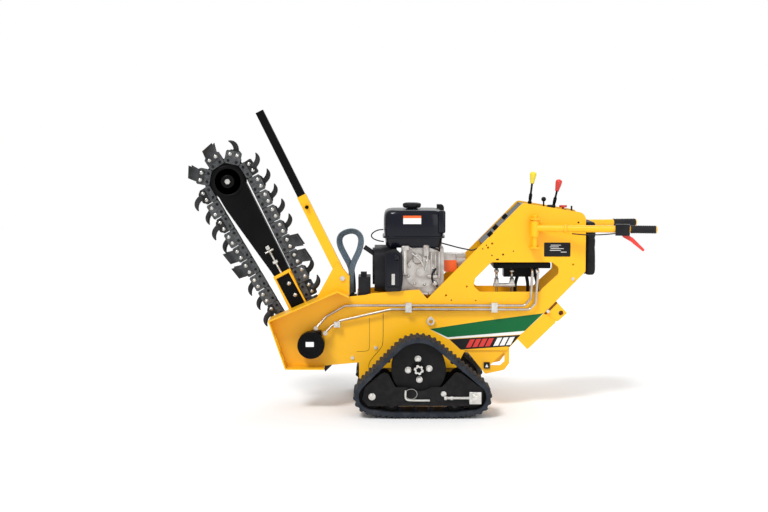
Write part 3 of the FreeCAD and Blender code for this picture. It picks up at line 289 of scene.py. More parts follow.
def build_soil(tree, entry, leave):
    """Dust colour over a base colour where noise is high, more on faces that look up and near the ground."""
    link = tree.links.new
    geometry = add_node(tree, "ShaderNodeNewGeometry")
    split = add_node(tree, "ShaderNodeSeparateXYZ")
    link(geometry.outputs["Normal"], split.inputs[0])
    place = add_node(tree, "ShaderNodeTexCoord")
    height = add_node(tree, "ShaderNodeSeparateXYZ")
    link(place.outputs["Object"], height.inputs[0])
    low = add_node(tree, "ShaderNodeMapRange", in_1=0.0, in_2=0.45, in_3=1.0, in_4=0.0)
    link(height.outputs["Z"], low.inputs["Value"])
    up = add_node(tree, "ShaderNodeMapRange", in_1=0.3, in_2=1.0)
    link(split.outputs["Z"], up.inputs["Value"])
    both = add_node(tree, "ShaderNodeMath", operation="ADD")
    link(low.outputs["Result"], both.inputs[0])
    link(up.outputs["Result"], both.inputs[1])
    noise = add_node(tree, "ShaderNodeTexNoise", in_2=28.0)
    noise.inputs["Detail"].default_value = 8.0
    link(place.outputs["Object"], noise.inputs["Vector"])
    patch = add_node(tree, "ShaderNodeMapRange", in_1=0.42, in_2=0.75)
    link(noise.outputs["Fac"], patch.inputs["Value"])
    product = add_node(tree, "ShaderNodeMath", operation="MULTIPLY")
    link(both.outputs[0], product.inputs[0])
    link(patch.outputs["Result"], product.inputs[1])
    share = add_node(tree, "ShaderNodeMath", operation="MULTIPLY", use_clamp=True)
    link(product.outputs[0], share.inputs[0])
    link(entry.outputs["Amount"], share.inputs[1])
    mix = add_node(tree, "ShaderNodeMix", data_type="RGBA")
    link(share.outputs[0], mix.inputs["Factor"])
    link(entry.outputs["Color"], mix.inputs[6])
    link(entry.outputs["Dust"], mix.inputs[7])
    link(mix.outputs[2], leave.inputs["Color"])
    link(share.outputs[0], leave.inputs["Mask"])


soil = effect_group(
    "soil",
    [
        ("Color", "NodeSocketColor", (1, 1, 1, 1)),
        ("Dust", "NodeSocketColor", (0.5, 0.4, 0.3, 1)),
        ("Amount", "NodeSocketFloat", 0.3),
    ],
    [("Color", "NodeSocketColor"), ("Mask", "NodeSocketFloat")],
    build_soil,
)


def finish(name, base, second, amount, scale, grain, rough, metal=0.0, coat=0.0, bump=0.1, dust=0.0,
           dust_color=(0.42, 0.34, 0.27), edge=0.0012, shine=0.5):
    """A finish: mottled colour, grain in roughness and relief, soil, and softly rounded edges."""
    material = bpy.data.materials.new(name)
    material.use_nodes = True
    tree = material.node_tree
    link = tree.links.new
    shader = tree.nodes["Principled BSDF"]
    shader.inputs["Metallic"].default_value = metal
    shader.inputs["Coat Weight"].default_value = coat
    shader.inputs["Coat Roughness"].default_value = 0.12
    shader.inputs["Specular IOR Level"].default_value = shine
    spots = add_node(tree, "ShaderNodeGroup", node_tree=mottle)
    for label, value in (
        ("Base", (*base, 1)),
        ("Second", (*second, 1)),
        ("Amount", amount),
        ("Scale", scale),
        ("Grain Scale", grain),
        ("Roughness", rough - 0.12),
    ):
        spots.inputs[label].default_value = value
    color = spots.outputs["Color"]
    if dust:
        dirt = add_node(tree, "ShaderNodeGroup", node_tree=soil)
        dirt.inputs["Amount"].default_value = dust
        dirt.inputs["Dust"].default_value = (*dust_color, 1)
        link(color, dirt.inputs["Color"])
        color = dirt.outputs["Color"]
    link(color, shader.inputs["Base Color"])
    link(spots.outputs["Roughness"], shader.inputs["Roughness"])
    relief = add_node(tree, "ShaderNodeBump")
    relief.inputs["Strength"].default_value = bump
    relief.inputs["Distance"].default_value = 0.001
    link(spots.outputs["Height"], relief.inputs["Height"])
    if edge:
        soft = add_node(tree, "ShaderNodeBevel", samples=4)
        soft.inputs["Radius"].default_value = edge
        link(soft.outputs["Normal"], relief.inputs["Normal"])
    link(relief.outputs["Normal"], shader.inputs["Normal"])
    return material


yellow = finish("yellow_paint", (0.98, 0.50, 0.004), (0.94, 0.45, 0.003), 0.35, 3.0, 420, 0.36, coat=0.1,
    bump=0.05, dust=0.12, edge=0.0015, shine=0.35)
black = finish("black_paint", (0.003, 0.003, 0.0035), (0.006, 0.006, 0.007), 0.6, 9, 350, 0.36, coat=0.02,
    bump=0.12, dust=0.01, shine=0.07)
track_black = finish("frame_black", (0.006, 0.006, 0.007), (0.012, 0.012, 0.013), 0.5, 7, 200, 0.42,
    bump=0.12, dust=0.03, shine=0.14)
inner_steel = finish("inner_link_steel", (0.012, 0.012, 0.013), (0.03, 0.03, 0.03), 0.8, 60, 400, 0.55,
    metal=0.3, bump=0.3, shine=0.1)
chain_steel = finish("chain_steel", (0.055, 0.06, 0.065), (0.125, 0.125, 0.125), 0.9, 90, 500, 0.5,
    metal=0.55, bump=0.4, dust=0.08)
tooth_steel = finish("tooth_steel", (0.008, 0.008, 0.009), (0.026, 0.026, 0.028), 0.8, 30, 260, 0.42,
    metal=0.2, bump=0.35, dust=0.06)
shovel_steel = finish("shovel_steel", (0.022, 0.024, 0.027), (0.075, 0.078, 0.082), 0.9, 14, 200, 0.42,
    metal=0.45, bump=0.3)
zinc = finish("zinc_plate", (0.72, 0.71, 0.68), (0.50, 0.46, 0.40), 0.6, 60, 300, 0.3, metal=0.9, bump=0.08,
    edge=0.0008)
tube_steel = finish("plated_tube", (0.60, 0.55, 0.50), (0.42, 0.33, 0.27), 0.7, 18, 240, 0.3, metal=0.95,
    bump=0.05, edge=0)
alloy = finish("cast_alloy", (0.56, 0.53, 0.50), (0.34, 0.29, 0.26), 0.8, 24, 220, 0.42, metal=0.75,
    bump=0.5, dust=0.2, edge=0.0018)
rubber = finish("track_rubber", (0.018, 0.022, 0.030), (0.036, 0.042, 0.053), 0.8, 20, 160, 0.62, bump=0.35,
    dust=0.12, dust_color=(0.16, 0.15, 0.14), edge=0.002, shine=0.14)
plastic = finish("black_plastic", (0.012, 0.012, 0.014), (0.026, 0.026, 0.03), 0.6, 14, 700, 0.42,
    bump=0.25, edge=0.0015, shine=0.14)
enamel = finish("gloss_enamel", (0.003, 0.004, 0.009), (0.006, 0.007, 0.014), 0.5, 5, 300, 0.2, coat=0.16,
    bump=0.02, shine=0.2)
grip_rubber = finish("grip_rubber", (0.016, 0.016, 0.018), (0.03, 0.03, 0.032), 0.5, 30, 500, 0.55,
    bump=0.3, shine=0.14)
red = finish("red_plastic", (0.72, 0.035, 0.02), (0.6, 0.02, 0.012), 0.4, 10, 400, 0.3, coat=0.3, bump=0.05)
knob_yellow = finish("yellow_knob", (0.86, 0.68, 0.01), (0.75, 0.58, 0.01), 0.4, 20, 400, 0.25, coat=0.5,
    bump=0.03)
panel_grey = finish("panel_grey", (0.055, 0.068, 0.075), (0.09, 0.10, 0.11), 0.6, 8, 300, 0.4, bump=0.1)
green = finish("green_decal", (0.002, 0.125, 0.035), (0.002, 0.11, 0.03), 0.4, 6, 300, 0.4, bump=0.02,
    edge=0, shine=0.2)
white = finish("white_decal", (0.86, 0.86, 0.84), (0.75, 0.74, 0.7), 0.4, 10, 300, 0.35, bump=0.02, edge=0)
dark_decal = finish("dark_decal", (0.012, 0.012, 0.013), (0.02, 0.02, 0.02), 0.3, 10, 300, 0.35, bump=0.02,
    edge=0, shine=0.14)
orange = finish("orange_label", (0.95, 0.13, 0.01), (0.85, 0.10, 0.01), 0.3, 10, 300, 0.4, bump=0.02,
    edge=0)
red_decal = finish("red_decal", (0.70, 0.03, 0.02), (0.6, 0.02, 0.02), 0.3, 10, 300, 0.35, bump=0.02,
    edge=0)
sleeve_weave = finish("sleeve_weave", (0.075, 0.115, 0.155), (0.16, 0.21, 0.26), 0.9, 160, 800, 0.75,
    bump=0.6, edge=0)
seat_black = finish("pad_cover", (0.012, 0.012, 0.013), (0.022, 0.022, 0.024), 0.6, 30, 500, 0.5, bump=0.4,
    edge=0, shine=0.14)

FINISHES = {
    "yellow_paint": yellow,
    "black_paint": black,
    "chain_steel": chain_steel,
    "tooth_steel": tooth_steel,
    "zinc": zinc,
    "tube_steel": tube_steel,
    "track_rubber": rubber,
    "black_plastic": plastic,
    "gloss_black": enamel,
    "cast_alloy": alloy,
    "grip_rubber": grip_rubber,
    "red_plastic": red,
    "knob_yellow": knob_yellow,
    "knob_red": red,
    "sleeve_fabric": sleeve_weave,
    "panel_grey": panel_grey,
    "pad_foam": seat_black,
}
# The control valve takes the black paint as painted shade: the inside seen through the window lies in shadow.
SPECIAL = {"chain_inner_links": inner_steel, "control_valve": black, "shovel_teeth": shovel_steel,
    "track_frames": track_black, "near_sprocket": track_black, "far_sprocket": track_black}
for part in frame["record"]["subparts"]:
    node = nodes[part["node"]]
    node.data.materials.clear()
    node.data.materials.append(SPECIAL.get(part["node"], FINISHES[part["material_slot"]]))


# ------------------------------------------------------------------ places of the machine's parts, metres
PLATE_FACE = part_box("near_side_plate")[0][1]
HEAD = np.array([-0.520, 0.0, 0.324])
BOOM_ANGLE = math.radians(118.03)
BOOM_X = np.array([math.cos(BOOM_ANGLE), 0.0, math.sin(BOOM_ANGLE)])
BOOM_Z = np.array([-math.sin(BOOM_ANGLE), 0.0, math.cos(BOOM_ANGLE)])


def on_boom(points):
    """Points of the boom's frame, x along it from the head and z across, in the machine's frame."""
    points = np.asarray(points, float)
    return HEAD + points[:, :1] * BOOM_X + points[:, 1:2] * np.array([0, 1, 0]) + points[:, 2:] * BOOM_Z


def decal(name, outline, look, front=0.0006, slot="black_paint", corner=0.0):
    """A thin film on the near side plate: the outline, its corners cut round, proud of the face."""
    outline = np.asarray(outline, float) / 1000
    if corner:
        before = np.roll(outline, 1, axis=0) - outline
        after = np.roll(outline, -1, axis=0) - outline
        before /= np.linalg.norm(before, axis=1, keepdims=True)
        after /= np.linalg.norm(after, axis=1, keepdims=True)
        share = np.linspace(0, 1, 5)[None, :, None]
        start = outline[:, None, :] + before[:, None, :] * corner / 1000
        end = outline[:, None, :] + after[:, None, :] * corner / 1000
        middle = outline[:, None, :]
        curve = (1 - share) ** 2 * start + 2 * share * (1 - share) * middle + share**2 * end
        outline = curve.reshape(-1, 2)
    points, faces = slab(outline, PLATE_FACE - front, PLATE_FACE + 0.0002)
    return new_piece(name, points, faces, look, "chassis", slot, smooth=False)


# ------------------------------------------------------------------ films on the side plate
decal("stripe_white", [(60, 392), (619, 470), (615, 466), (521, 377), (503, 365), (148, 343)], white,
    0.0004)
decal("stripe_green", [(60, 392), (150, 406), (330, 433), (617, 470), (527, 383), (148, 351)], green,
    0.0007)
decal("name_band", [(157, 341), (506, 363), (452, 304), (436, 306), (212, 290)], dark_decal, 0.0007)
bar_row = np.array([(238, 300), (262, 302), (282, 342), (258, 340)])
for step in range(4):
    decal("band_mark_red_%d" % step, bar_row + (31 * step, 1.8 * step), red_decal, 0.0009)
for step in range(3):
    decal("band_mark_white_%d" % step, bar_row + (134 + 31 * step, 8 + 1.8 * step), white, 0.0009)
decal("data_plate", [(618, 749), (747, 749), (747, 818), (618, 818)], dark_decal, 0.0012, corner=5)
for step, (low, high) in enumerate(((650, 700), (646, 690), (650, 714), (646, 700), (700, 728))):
    height = 804 - 8.5 * step
    decal("data_line_%d" % step, [(low, height), (high, height), (high, height + 2.6), (low, height + 2.6)],
        white, 0.0015)
decal("loop_label", [(326, 196), (356, 196), (356, 228), (326, 228)], dark_decal, 0.0009, corner=2)
decal("loop_label_mark", [(333, 203), (349, 203), (341, 219)], white, 0.0012)
RIVET_SPOTS = [(318, 787), (336, 805), (363, 755), (386, 735), (468, 776), (165, 535), (285, 533)]
RIVET_RADIUS = 3.4
for step, spot in enumerate(RIVET_SPOTS):
    decal("rivet_hole_%d" % step, circle(RIVET_RADIUS, 12) + spot, dark_decal, 0.0005)


# ------------------------------------------------------------------ digging chain
HEAD_R, NOSE_R, BOOM_LENGTH, CHAIN_PITCH = 68.0, 104.0, 893.0, 42.0
CHAIN_PHASE = 51.0
LINK_FACE = 25.0
NECK_TAPER = (0.8, 0.97)
LEAN = math.acos((HEAD_R - NOSE_R) / BOOM_LENGTH)
RUN = BOOM_LENGTH * math.sin(LEAN)
NOSE_TURN = 2 * LEAN
HEAD_TURN = 2 * math.pi - 2 * LEAN
CHAIN_LENGTH = 2 * RUN + NOSE_R * NOSE_TURN + HEAD_R * HEAD_TURN
LINKS = 2 * round(CHAIN_LENGTH / CHAIN_PITCH / 2)


def chain_points(distance):
    """Points of the chain's path: two straight runs and an arc round each end, by distance along it."""
    d = np.asarray(distance, float) % CHAIN_LENGTH
    out = np.stack([np.cos([-LEAN, LEAN]), np.sin([-LEAN, LEAN])], axis=1)
    a1, b1 = HEAD_R * out[0], np.array([BOOM_LENGTH, 0]) + NOSE_R * out[0]
    a2, b2 = np.array([BOOM_LENGTH, 0]) + NOSE_R * out[1], HEAD_R * out[1]
    marks = np.cumsum([RUN, NOSE_R * NOSE_TURN, RUN])
    first = a1 + (b1 - a1) * (d / RUN)[..., None]
    turn = -LEAN + (d - marks[0]) / NOSE_R
    second = np.array([BOOM_LENGTH, 0]) + NOSE_R * np.stack([np.cos(turn), np.sin(turn)], axis=-1)
    third = a2 + (b2 - a2) * ((d - marks[1]) / RUN)[..., None]
    turn = LEAN + (d - marks[2]) / HEAD_R
    fourth = HEAD_R * np.stack([np.cos(turn), np.sin(turn)], axis=-1)
    which = np.searchsorted(marks, d)[..., None]
    return np.select([which == 0, which == 1, which == 2], [first, second, third], fourth)


def on_link(points, pair):
    """Points of a link's frame in mm, u along the chain, y across and v inward, as machine points."""
    ends = chain_points(CHAIN_PHASE + np.array([2 * pair, 2 * pair + 1]) * CHAIN_LENGTH / LINKS)
    middle = ends.mean(axis=0)
    along = (ends[1] - ends[0]) / np.linalg.norm(ends[1] - ends[0])
    points = np.asarray(points, float)
    x = middle[0] + points[:, 0] * along[0] - points[:, 2] * along[1]
    z = middle[1] + points[:, 0] * along[1] + points[:, 2] * along[0]
    return on_boom(np.stack([x, points[:, 1], z], axis=1) / 1000)


def horn(side):
    """A claw: an oval section swept up a curve that leans forward, thinning towards its tip.

    The middle line is the quadratic curve (1 - s)^2 a + 2 s (1 - s) b + s^2 c.
    Its thickness falls as 1 - s^3.6.
    """
    s = np.linspace(0, 1, 12)[:, None]
    t = np.linspace(0, 2 * math.pi, 12, endpoint=False)[None, :]
    middle_u = (1 - s) ** 2 * -5 + 2 * s * (1 - s) * 2 + s**2 * 47
    middle_v = (1 - s) ** 2 * -44 + 2 * s * (1 - s) * -95 + s**2 * -93
    heading_u = np.gradient(middle_u, axis=0)
    heading_v = np.gradient(middle_v, axis=0)
    size = np.hypot(heading_u, heading_v)
    thick = 12 * (1 - s**3.6) + 1.8
    wide = 15 * (1 - 0.4 * s**2)
    u = middle_u + thick * np.cos(t) * -heading_v / size
    v = np.maximum(middle_v + thick * np.cos(t) * heading_u / size, -99.5)
    y = side * (47 + 0 * s + wide * np.sign(np.sin(t)) * np.abs(np.sin(t)) ** 0.6)
    points = np.stack([u + 0 * t, y + 0 * u, v + 0 * t], axis=-1).reshape(-1, 3)
    return points, closed_faces(s.size, t.size)


def foot(side, low, high, deep):
    """The claw's bolted foot: a plate with its corners cut, between two heights on the link."""
    outline = np.array([(-26, low), (-31, low - 6), (-31, high + 7), (-22, high), (22, high),
        (31, high + 7), (31, low - 6), (26, low)])
    return slab(outline, side * LINK_FACE, side * (LINK_FACE + deep))


def neck(side):
    """The web between the foot and the claw: a block that narrows outward."""
    outline = np.array([(-20, -42), (-18, -58), (-8, -68), (8, -64), (16, -54), (16, -42)])
    return prism(outline, outline * NECK_TAPER, side * (LINK_FACE + 2.0), side * 2 * LINK_FACE)


SHOVEL_PAIRS = (1, 2, 8, 9, 14, 15, 22, 23)
NARROW_PAIRS = (0, 5, 11, 13, 17, 25)
claws = []
for pair in range(LINKS // 2):
    order = LINKS // 2 - 1 - pair
    if order in SHOVEL_PAIRS:
        continue
    side = -1 if order in NARROW_PAIRS else 1
    for points, faces in (horn(side), foot(side, -22, -56, 10), neck(side)):
        claws.append((on_link(points, pair), faces))
claw_piece = new_piece("claws", *joined(*claws), tooth_steel, "boom", "tooth_steel")
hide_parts("cup_teeth")
crisp(claw_piece, 42)


def blade(side):
    """A shovel blade: a foot on the link, then a curved sheet that flares out as a power of its height.

    Across u it runs from the trailing to the leading edge, which slopes, so the tip is a skewed square.
    """
    s = np.linspace(0, 1, 10)[:, None]
    t = np.linspace(0, 1, 7)[None, :]
    v = -20 - 79.0 * s + 0 * t
    u = -30 + 60 * t - 13 * np.clip(s * 1.6 - 0.6, 0, 1) * (1 - 0.2 * t) + 0 * v
    lift = 32 * np.clip((s - 0.35) / 0.65, 0, 1) ** 1.4 + 0 * t
    v = v + 9 * np.clip(s * 2 - 1, 0, 1) * t
    outer = np.stack([u, side * (33 + lift * 0.98), v], axis=-1).reshape(-1, 3)
    inner = np.stack([u, side * (25.2 + lift), v], axis=-1).reshape(-1, 3)
    faces = grid_faces(10, 7)
    count = len(outer)
    back = [tuple(k + count for k in f[::-1]) for f in faces]
    edge = np.r_[np.arange(7), np.arange(13, 70, 7), np.arange(68, 62, -1), np.arange(56, 0, -7)]
    rim = [(int(b), int(a), int(a) + count, int(b) + count) for a, b in zip(edge, np.roll(edge, -1))]
    return np.concatenate([outer, inner]), faces + back + rim


blades = []
for pair in range(LINKS // 2):
    if LINKS // 2 - 1 - pair in SHOVEL_PAIRS:
        blades += [(on_link(points, pair), faces) for points, faces in (blade(-1), blade(1))]
shovel_piece = new_piece("shovel_blades", *joined(*blades), shovel_steel, "boom", "tooth_steel")
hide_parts("shovel_teeth")
crisp(shovel_piece, 40)


def button_head(centre, axis, radius, height):
    """A domed bolt head on a washer: a quarter-round profile turned about its axis."""
    t = np.linspace(0, math.pi / 2, 5)
    dome = np.stack([height * 0.35 + height * 0.65 * np.sin(t), radius * 0.72 * np.cos(t) + 1e-5], axis=1)
    profile = np.concatenate([[(0, radius), (height * 0.2, radius), (height * 0.3, radius * 0.75)], dome])
    return turned(profile, centre, axis, 12)


pins = []
for pair in range(LINKS // 2):
    order = LINKS // 2 - 1 - pair
    claw_side = -1 if order in NARROW_PAIRS else 1
    for side in (-1, 1):
        face = 33 if order in SHOVEL_PAIRS else (35 if side == claw_side else 25)
        for u in (-18, 18):
            spot = on_link([(u, side * face, -34)], pair)[0]
            pins.append(button_head(spot, (0, side, 0), 0.0085, 0.0062))
bolt_piece = new_piece("tooth_bolt_heads", *joined(*pins), zinc, "boom", "zinc")
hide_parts("tooth_bolts")
crisp(bolt_piece, 50)


# ------------------------------------------------------------------ boom nose and arm
arm_panel = np.array([(160, -50), (352, -58), (352, 16), (160, 22)]) / 1000
panel_points, panel_faces = slab(arm_panel, -0.0368, -0.0355)
new_piece("arm_panel", on_boom(panel_points), panel_faces, black, "boom", "black_paint", smooth=False)
BOSS = [(0, 0.034), (0.003, 0.034), (0.0065, 0.030), (0.007, 0.022), (0.0068, 0.012)]
NOSE_RING = [(0, 0.079), (0.0022, 0.078), (0.0028, 0.074), (0.0018, 0.066), (0.0, 0.064)]
NOSE_HEXAGON = [(0, 0.0155), (0.0065, 0.0155), (0.0095, 0.0148), (0.0135, 0.0145), (0.0195, 0.014),
                (0.0198, 0.006)]
BOOM_HALF = 0.030
nose_sides = [(on_boom([(BOOM_LENGTH / 1000, side * BOOM_HALF, 0)])[0], (0, side, 0)) for side in (-1, 1)]
boss, far_boss = [turned(BOSS, spot, way, 36) for spot, way in nose_sides]
ring = turned(NOSE_RING, *nose_sides[0], 64)
new_piece("nose_bosses", *joined(boss, ring, far_boss), black, "boom", "black_paint")
nose_bolts = [turned(NOSE_HEXAGON, spot, way, 6) for spot, way in nose_sides]
arm_bolts = [button_head(on_boom([(x, side * 0.036, -0.028)])[0], (0, side, 0), 0.0095, 0.0066)
    for x in (0.239, 0.304) for side in (-1, 1)]
THREAD_PITCH = 0.0032
screw_low, screw_high = 0.369, 0.520
thread_s = np.linspace(screw_low, screw_high, 120)
thread_radius = 0.0058 + 0.0007 * np.sin(thread_s * 2 * math.pi / THREAD_PITCH)
thread_profile = np.stack([thread_s - screw_low, thread_radius], axis=1)
thread = turned(thread_profile, on_boom([(screw_low, -0.042, -0.020)])[0], BOOM_X, 12)
lock_nut = turned([(0, 0.0135), (0.0005, 0.0145), (0.0135, 0.0145), (0.014, 0.0135)],
    on_boom([(0.424, -0.042, -0.020)])[0], BOOM_X, 6)
cross = turned([(0, 0.0052), (0.036, 0.0052), (0.0364, 0.003)], on_boom([(0.492, -0.028, -0.020)])[0],
    (0, -1, 0), 12)
cross_bar = turned([(0, 0.0045), (0.046, 0.0045), (0.0464, 0.003)], on_boom([(0.492, -0.052, -0.043)])[0],
    BOOM_Z, 12)
end_block = rounded_block((-0.010, -0.052, -0.010), (0.010, -0.030, 0.010), 0.003)
end_block = (on_boom(end_block[0] + np.array([0.510, 0, -0.020])), end_block[1])
screw_set = joined(*nose_bolts, *arm_bolts, thread, lock_nut, cross, cross_bar, end_block)
screw_piece = new_piece("tension_screw_set", *screw_set, zinc, "boom", "zinc")
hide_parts("tension_screw")
crisp(screw_piece, 40)


# ------------------------------------------------------------------ sleeve round the spare hoses
sleeve_middle = smooth_path(
    [(-0.326, -0.018, 0.553), (-0.330, -0.018, 0.64), (-0.322, -0.016, 0.70), (-0.286, -0.010, 0.77),
     (-0.276, -0.006, 0.83), (-0.300, -0.002, 0.862), (-0.340, 0.002, 0.866), (-0.384, 0.008, 0.845),
     (-0.390, 0.014, 0.80), (-0.360, 0.016, 0.74), (-0.332, 0.018, 0.69), (-0.322, 0.018, 0.63),
     (-0.320, 0.018, 0.553)],
    90,
)
sleeve_tangent = np.gradient(sleeve_middle, axis=0)
sleeve_tangent /= np.linalg.norm(sleeve_tangent, axis=1, keepdims=True)
sleeve_out = np.cross(sleeve_tangent, (0, 1, 0))
sleeve_out /= np.linalg.norm(sleeve_out, axis=1, keepdims=True)
sleeve_lean = np.radians(38)
flat_way = math.cos(sleeve_lean) * np.array([0, 1, 0]) + math.sin(sleeve_lean) * sleeve_out
thin_way = np.cross(sleeve_tangent, flat_way)
turn = np.linspace(0, 2 * math.pi, 24, endpoint=False)
sleeve_points = (
    sleeve_middle[:, None, :]
    + 0.022 * np.cos(turn)[None, :, None] * flat_way[:, None, :]
    + 0.0042 * (np.sign(np.sin(turn)) * np.abs(np.sin(turn)) ** 0.5)[None, :, None] * thin_way[:, None, :]
)
sleeve_faces = closed_faces(len(sleeve_middle), len(turn))
sleeve_piece = new_piece("woven_sleeve", sleeve_points.reshape(-1, 3), sleeve_faces, sleeve_weave,
    "chassis", "sleeve_fabric")
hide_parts("hose_sleeve")


# ------------------------------------------------------------------ engine dress
TANK_LOW, TANK_HIGH = [np.array(c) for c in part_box("fuel_tank")]


def tank_shell():
    """The tank: level sections from bottom to top, each a superellipse, with a lip at the seam."""
    levels = np.array([(0.790, 0.86, 0.82), (0.800, 0.90, 0.86), (0.836, 0.925, 0.90), (0.838, 1.0, 1.0),
                       (0.846, 1.0, 1.0), (0.848, 0.955, 0.965), (0.885, 0.965, 0.975), (0.93, 0.96, 0.97),
                       (0.952, 0.945, 0.955), (0.965, 0.91, 0.93), (0.973, 0.84, 0.88), (0.976, 0.74, 0.80)])
    t = np.linspace(0, 2 * math.pi, 64, endpoint=False)
    c, s = np.cos(t), np.sin(t)
    half_x, half_y = 0.154, 0.150
    outline_x = half_x * np.sign(c) * np.abs(c) ** 0.30
    outline_y = half_y * np.sign(s) * np.abs(s) ** 0.30
    x = -0.018 + levels[:, 1:2] * outline_x
    y = levels[:, 2:3] * outline_y
    z = np.repeat(levels[:, :1], t.size, axis=1)
    points = np.stack([x, y, z], axis=-1).reshape(-1, 3)
    return points, closed_faces(len(levels), t.size)


neck_ring = turned([(0, 0.030), (0.004, 0.030), (0.006, 0.026), (0.007, 0.024)], (-0.027, -0.040, 0.975),
    (0, 0, 1), 28)
corner_lug = rounded_block((0.100, -0.149, 0.862), (0.136, -0.120, 0.974), 0.010)
tank_piece = new_piece("tank_shell", *joined(tank_shell(), neck_ring, corner_lug), enamel, "chassis",
    "gloss_black")
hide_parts("fuel_tank")
crisp(tank_piece, 50)


def cap_shell():
    """The filler cap: a turned profile whose rim radius waves six times round."""
    profile = np.array([(0.0, 0.034), (0.003, 0.041), (0.010, 0.0425), (0.018, 0.0425), (0.022, 0.040),
        (0.0255, 0.030), (0.0262, 0.012)])
    t = np.linspace(0, 2 * math.pi, 72, endpoint=False)
    wave = 1 + 0.055 * np.cos(6 * t) * np.array([0, 0.5, 1, 1, 1, 0.4, 0])[:, None] + 0.012 * np.cos(36 * t)
    radius = profile[:, 1:] * wave
    points = np.stack([-0.027 + radius * np.cos(t), -0.040 + radius * np.sin(t),
        0.9832 + profile[:, :1] + 0 * radius], axis=-1)
    return points.reshape(-1, 3), closed_faces(len(profile), t.size)


cap_piece = new_piece("cap_shell", *cap_shell(), plastic, "cap", "black_plastic")
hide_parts("fuel_cap")


def side_film(name, low, high, y, look, thick=0.0008, slot="black_paint"):
    """A thin label with rounded corners lying on an XZ face at y."""
    points, faces = rounded_block((low[0], y - thick, low[1]), (high[0], y + 0.0006, high[1]), 0.0006, 2)
    return new_piece(name, points, faces, look, "chassis", slot, smooth=False)


side_film("tank_label", (-0.071, 0.908), (0.017, 0.949), -0.1462, white)
side_film("tank_label_band", (-0.071, 0.937), (0.017, 0.949), -0.1470, orange)
side_film("pump_label", (0.133, 0.668), (0.195, 0.725), -0.0728, orange)
side_film("motor_tag", (-0.545, 0.318), (-0.505, 0.342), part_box("trencher_motor")[0][1] - 0.0004, white)


def bar(name, corners, radius, look, body="chassis", slot="zinc", count=30, sides=10):
    """A round bar along a softened path."""
    points, faces = sweep(smooth_path(corners, count), circle(radius, sides))
    return new_piece(name, points, faces, look, body, slot)


CASE_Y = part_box("engine_block")[0][1]
COVER_TURN = np.linspace(0.3, 0.3 + 2 * math.pi, 8, endpoint=False)
WAY_OUT = (0, -1, 0)
bar("tank_wire", [(-0.168, -0.10, 0.879), (-0.20, -0.102, 0.876), (-0.228, -0.104, 0.857),
    (-0.226, -0.104, 0.838), (-0.198, -0.102, 0.824), (-0.166, -0.10, 0.819)], 0.003, plastic,
    slot="black_plastic")
bar("choke_rod", [(-0.06, -0.136, 0.80), (-0.03, -0.138, 0.79), (0.0, -0.138, 0.76), (0.02, -0.138, 0.74)],
    0.0022, zinc)
bar("governor_spring", [(-0.03, -0.139, 0.765), (0.012, -0.139, 0.735), (0.03, -0.139, 0.70)], 0.0035, zinc)
bar("return_spring", [(0.045, -0.139, 0.79), (0.05, -0.139, 0.73), (0.035, -0.139, 0.68)], 0.0028, zinc)
bar("breather_hose", [(0.098, -0.136, 0.60), (0.075, -0.138, 0.62), (0.068, -0.138, 0.66),
    (0.092, -0.136, 0.69)], 0.005, plastic, slot="black_plastic")
case_bits = [
    rounded_block((-0.078, -0.146, 0.655), (-0.052, -0.120, 0.79), 0.006),
    rounded_block((-0.080, -0.147, 0.775), (-0.040, -0.120, 0.802), 0.008),
    rounded_block((0.026, -0.140, 0.745), (0.058, -0.112, 0.806), 0.010),
    rounded_block((0.062, -0.132, 0.655), (0.072, -0.10, 0.768), 0.004),
    rounded_block((0.082, -0.132, 0.655), (0.092, -0.10, 0.768), 0.004),
    rounded_block((0.100, -0.134, 0.64), (0.112, -0.10, 0.772), 0.004),
    rounded_block((0.045, -0.139, 0.640), (0.100, -0.112, 0.658), 0.006),
    rounded_block((-0.075, -0.136, 0.556), (0.055, -0.10, 0.572), 0.007),
    turned([(0, 0.026), (0.008, 0.026), (0.012, 0.020), (0.013, 0.008)], (0, -0.125, 0.735), WAY_OUT, 26),
    turned([(0, 0.014), (0.010, 0.014), (0.014, 0.010), (0.015, 0.004)], (0.085, -0.128, 0.615), WAY_OUT, 20),
]
case_piece = new_piece("case_dress", *joined(*case_bits), alloy, "chassis", "cast_alloy")
cover_circle = (0.015, CASE_Y + 0.0095, 0.670) + 0.064 * np.stack(
    [np.cos(COVER_TURN), np.zeros(8), np.sin(COVER_TURN)], axis=1)
cover_bolts = [button_head(spot, (0, -1, 0), 0.0075, 0.007) for spot in cover_circle]
new_piece("cover_bolts", *joined(*cover_bolts), zinc, "chassis", "zinc")
dip = rounded_block((-0.070, -0.1485, 0.665), (-0.060, -0.1460, 0.775), 0.0012, 2)
new_piece("dipstick_strap", *dip, zinc, "chassis", "zinc")
column_bits = [
    rounded_block((-0.155, -0.1755, 0.60), (-0.088, -0.165, 0.77), 0.012),
    turned([(0, 0.016), (0.005, 0.016), (0.009, 0.010), (0.010, 0.004)], (-0.104, -0.172, 0.745), WAY_OUT, 22),
]
new_piece("column_face", *joined(*column_bits), enamel, "chassis", "gloss_black")
side_film("column_label", (-0.128, 0.612), (-0.112, 0.666), -0.1760, zinc)
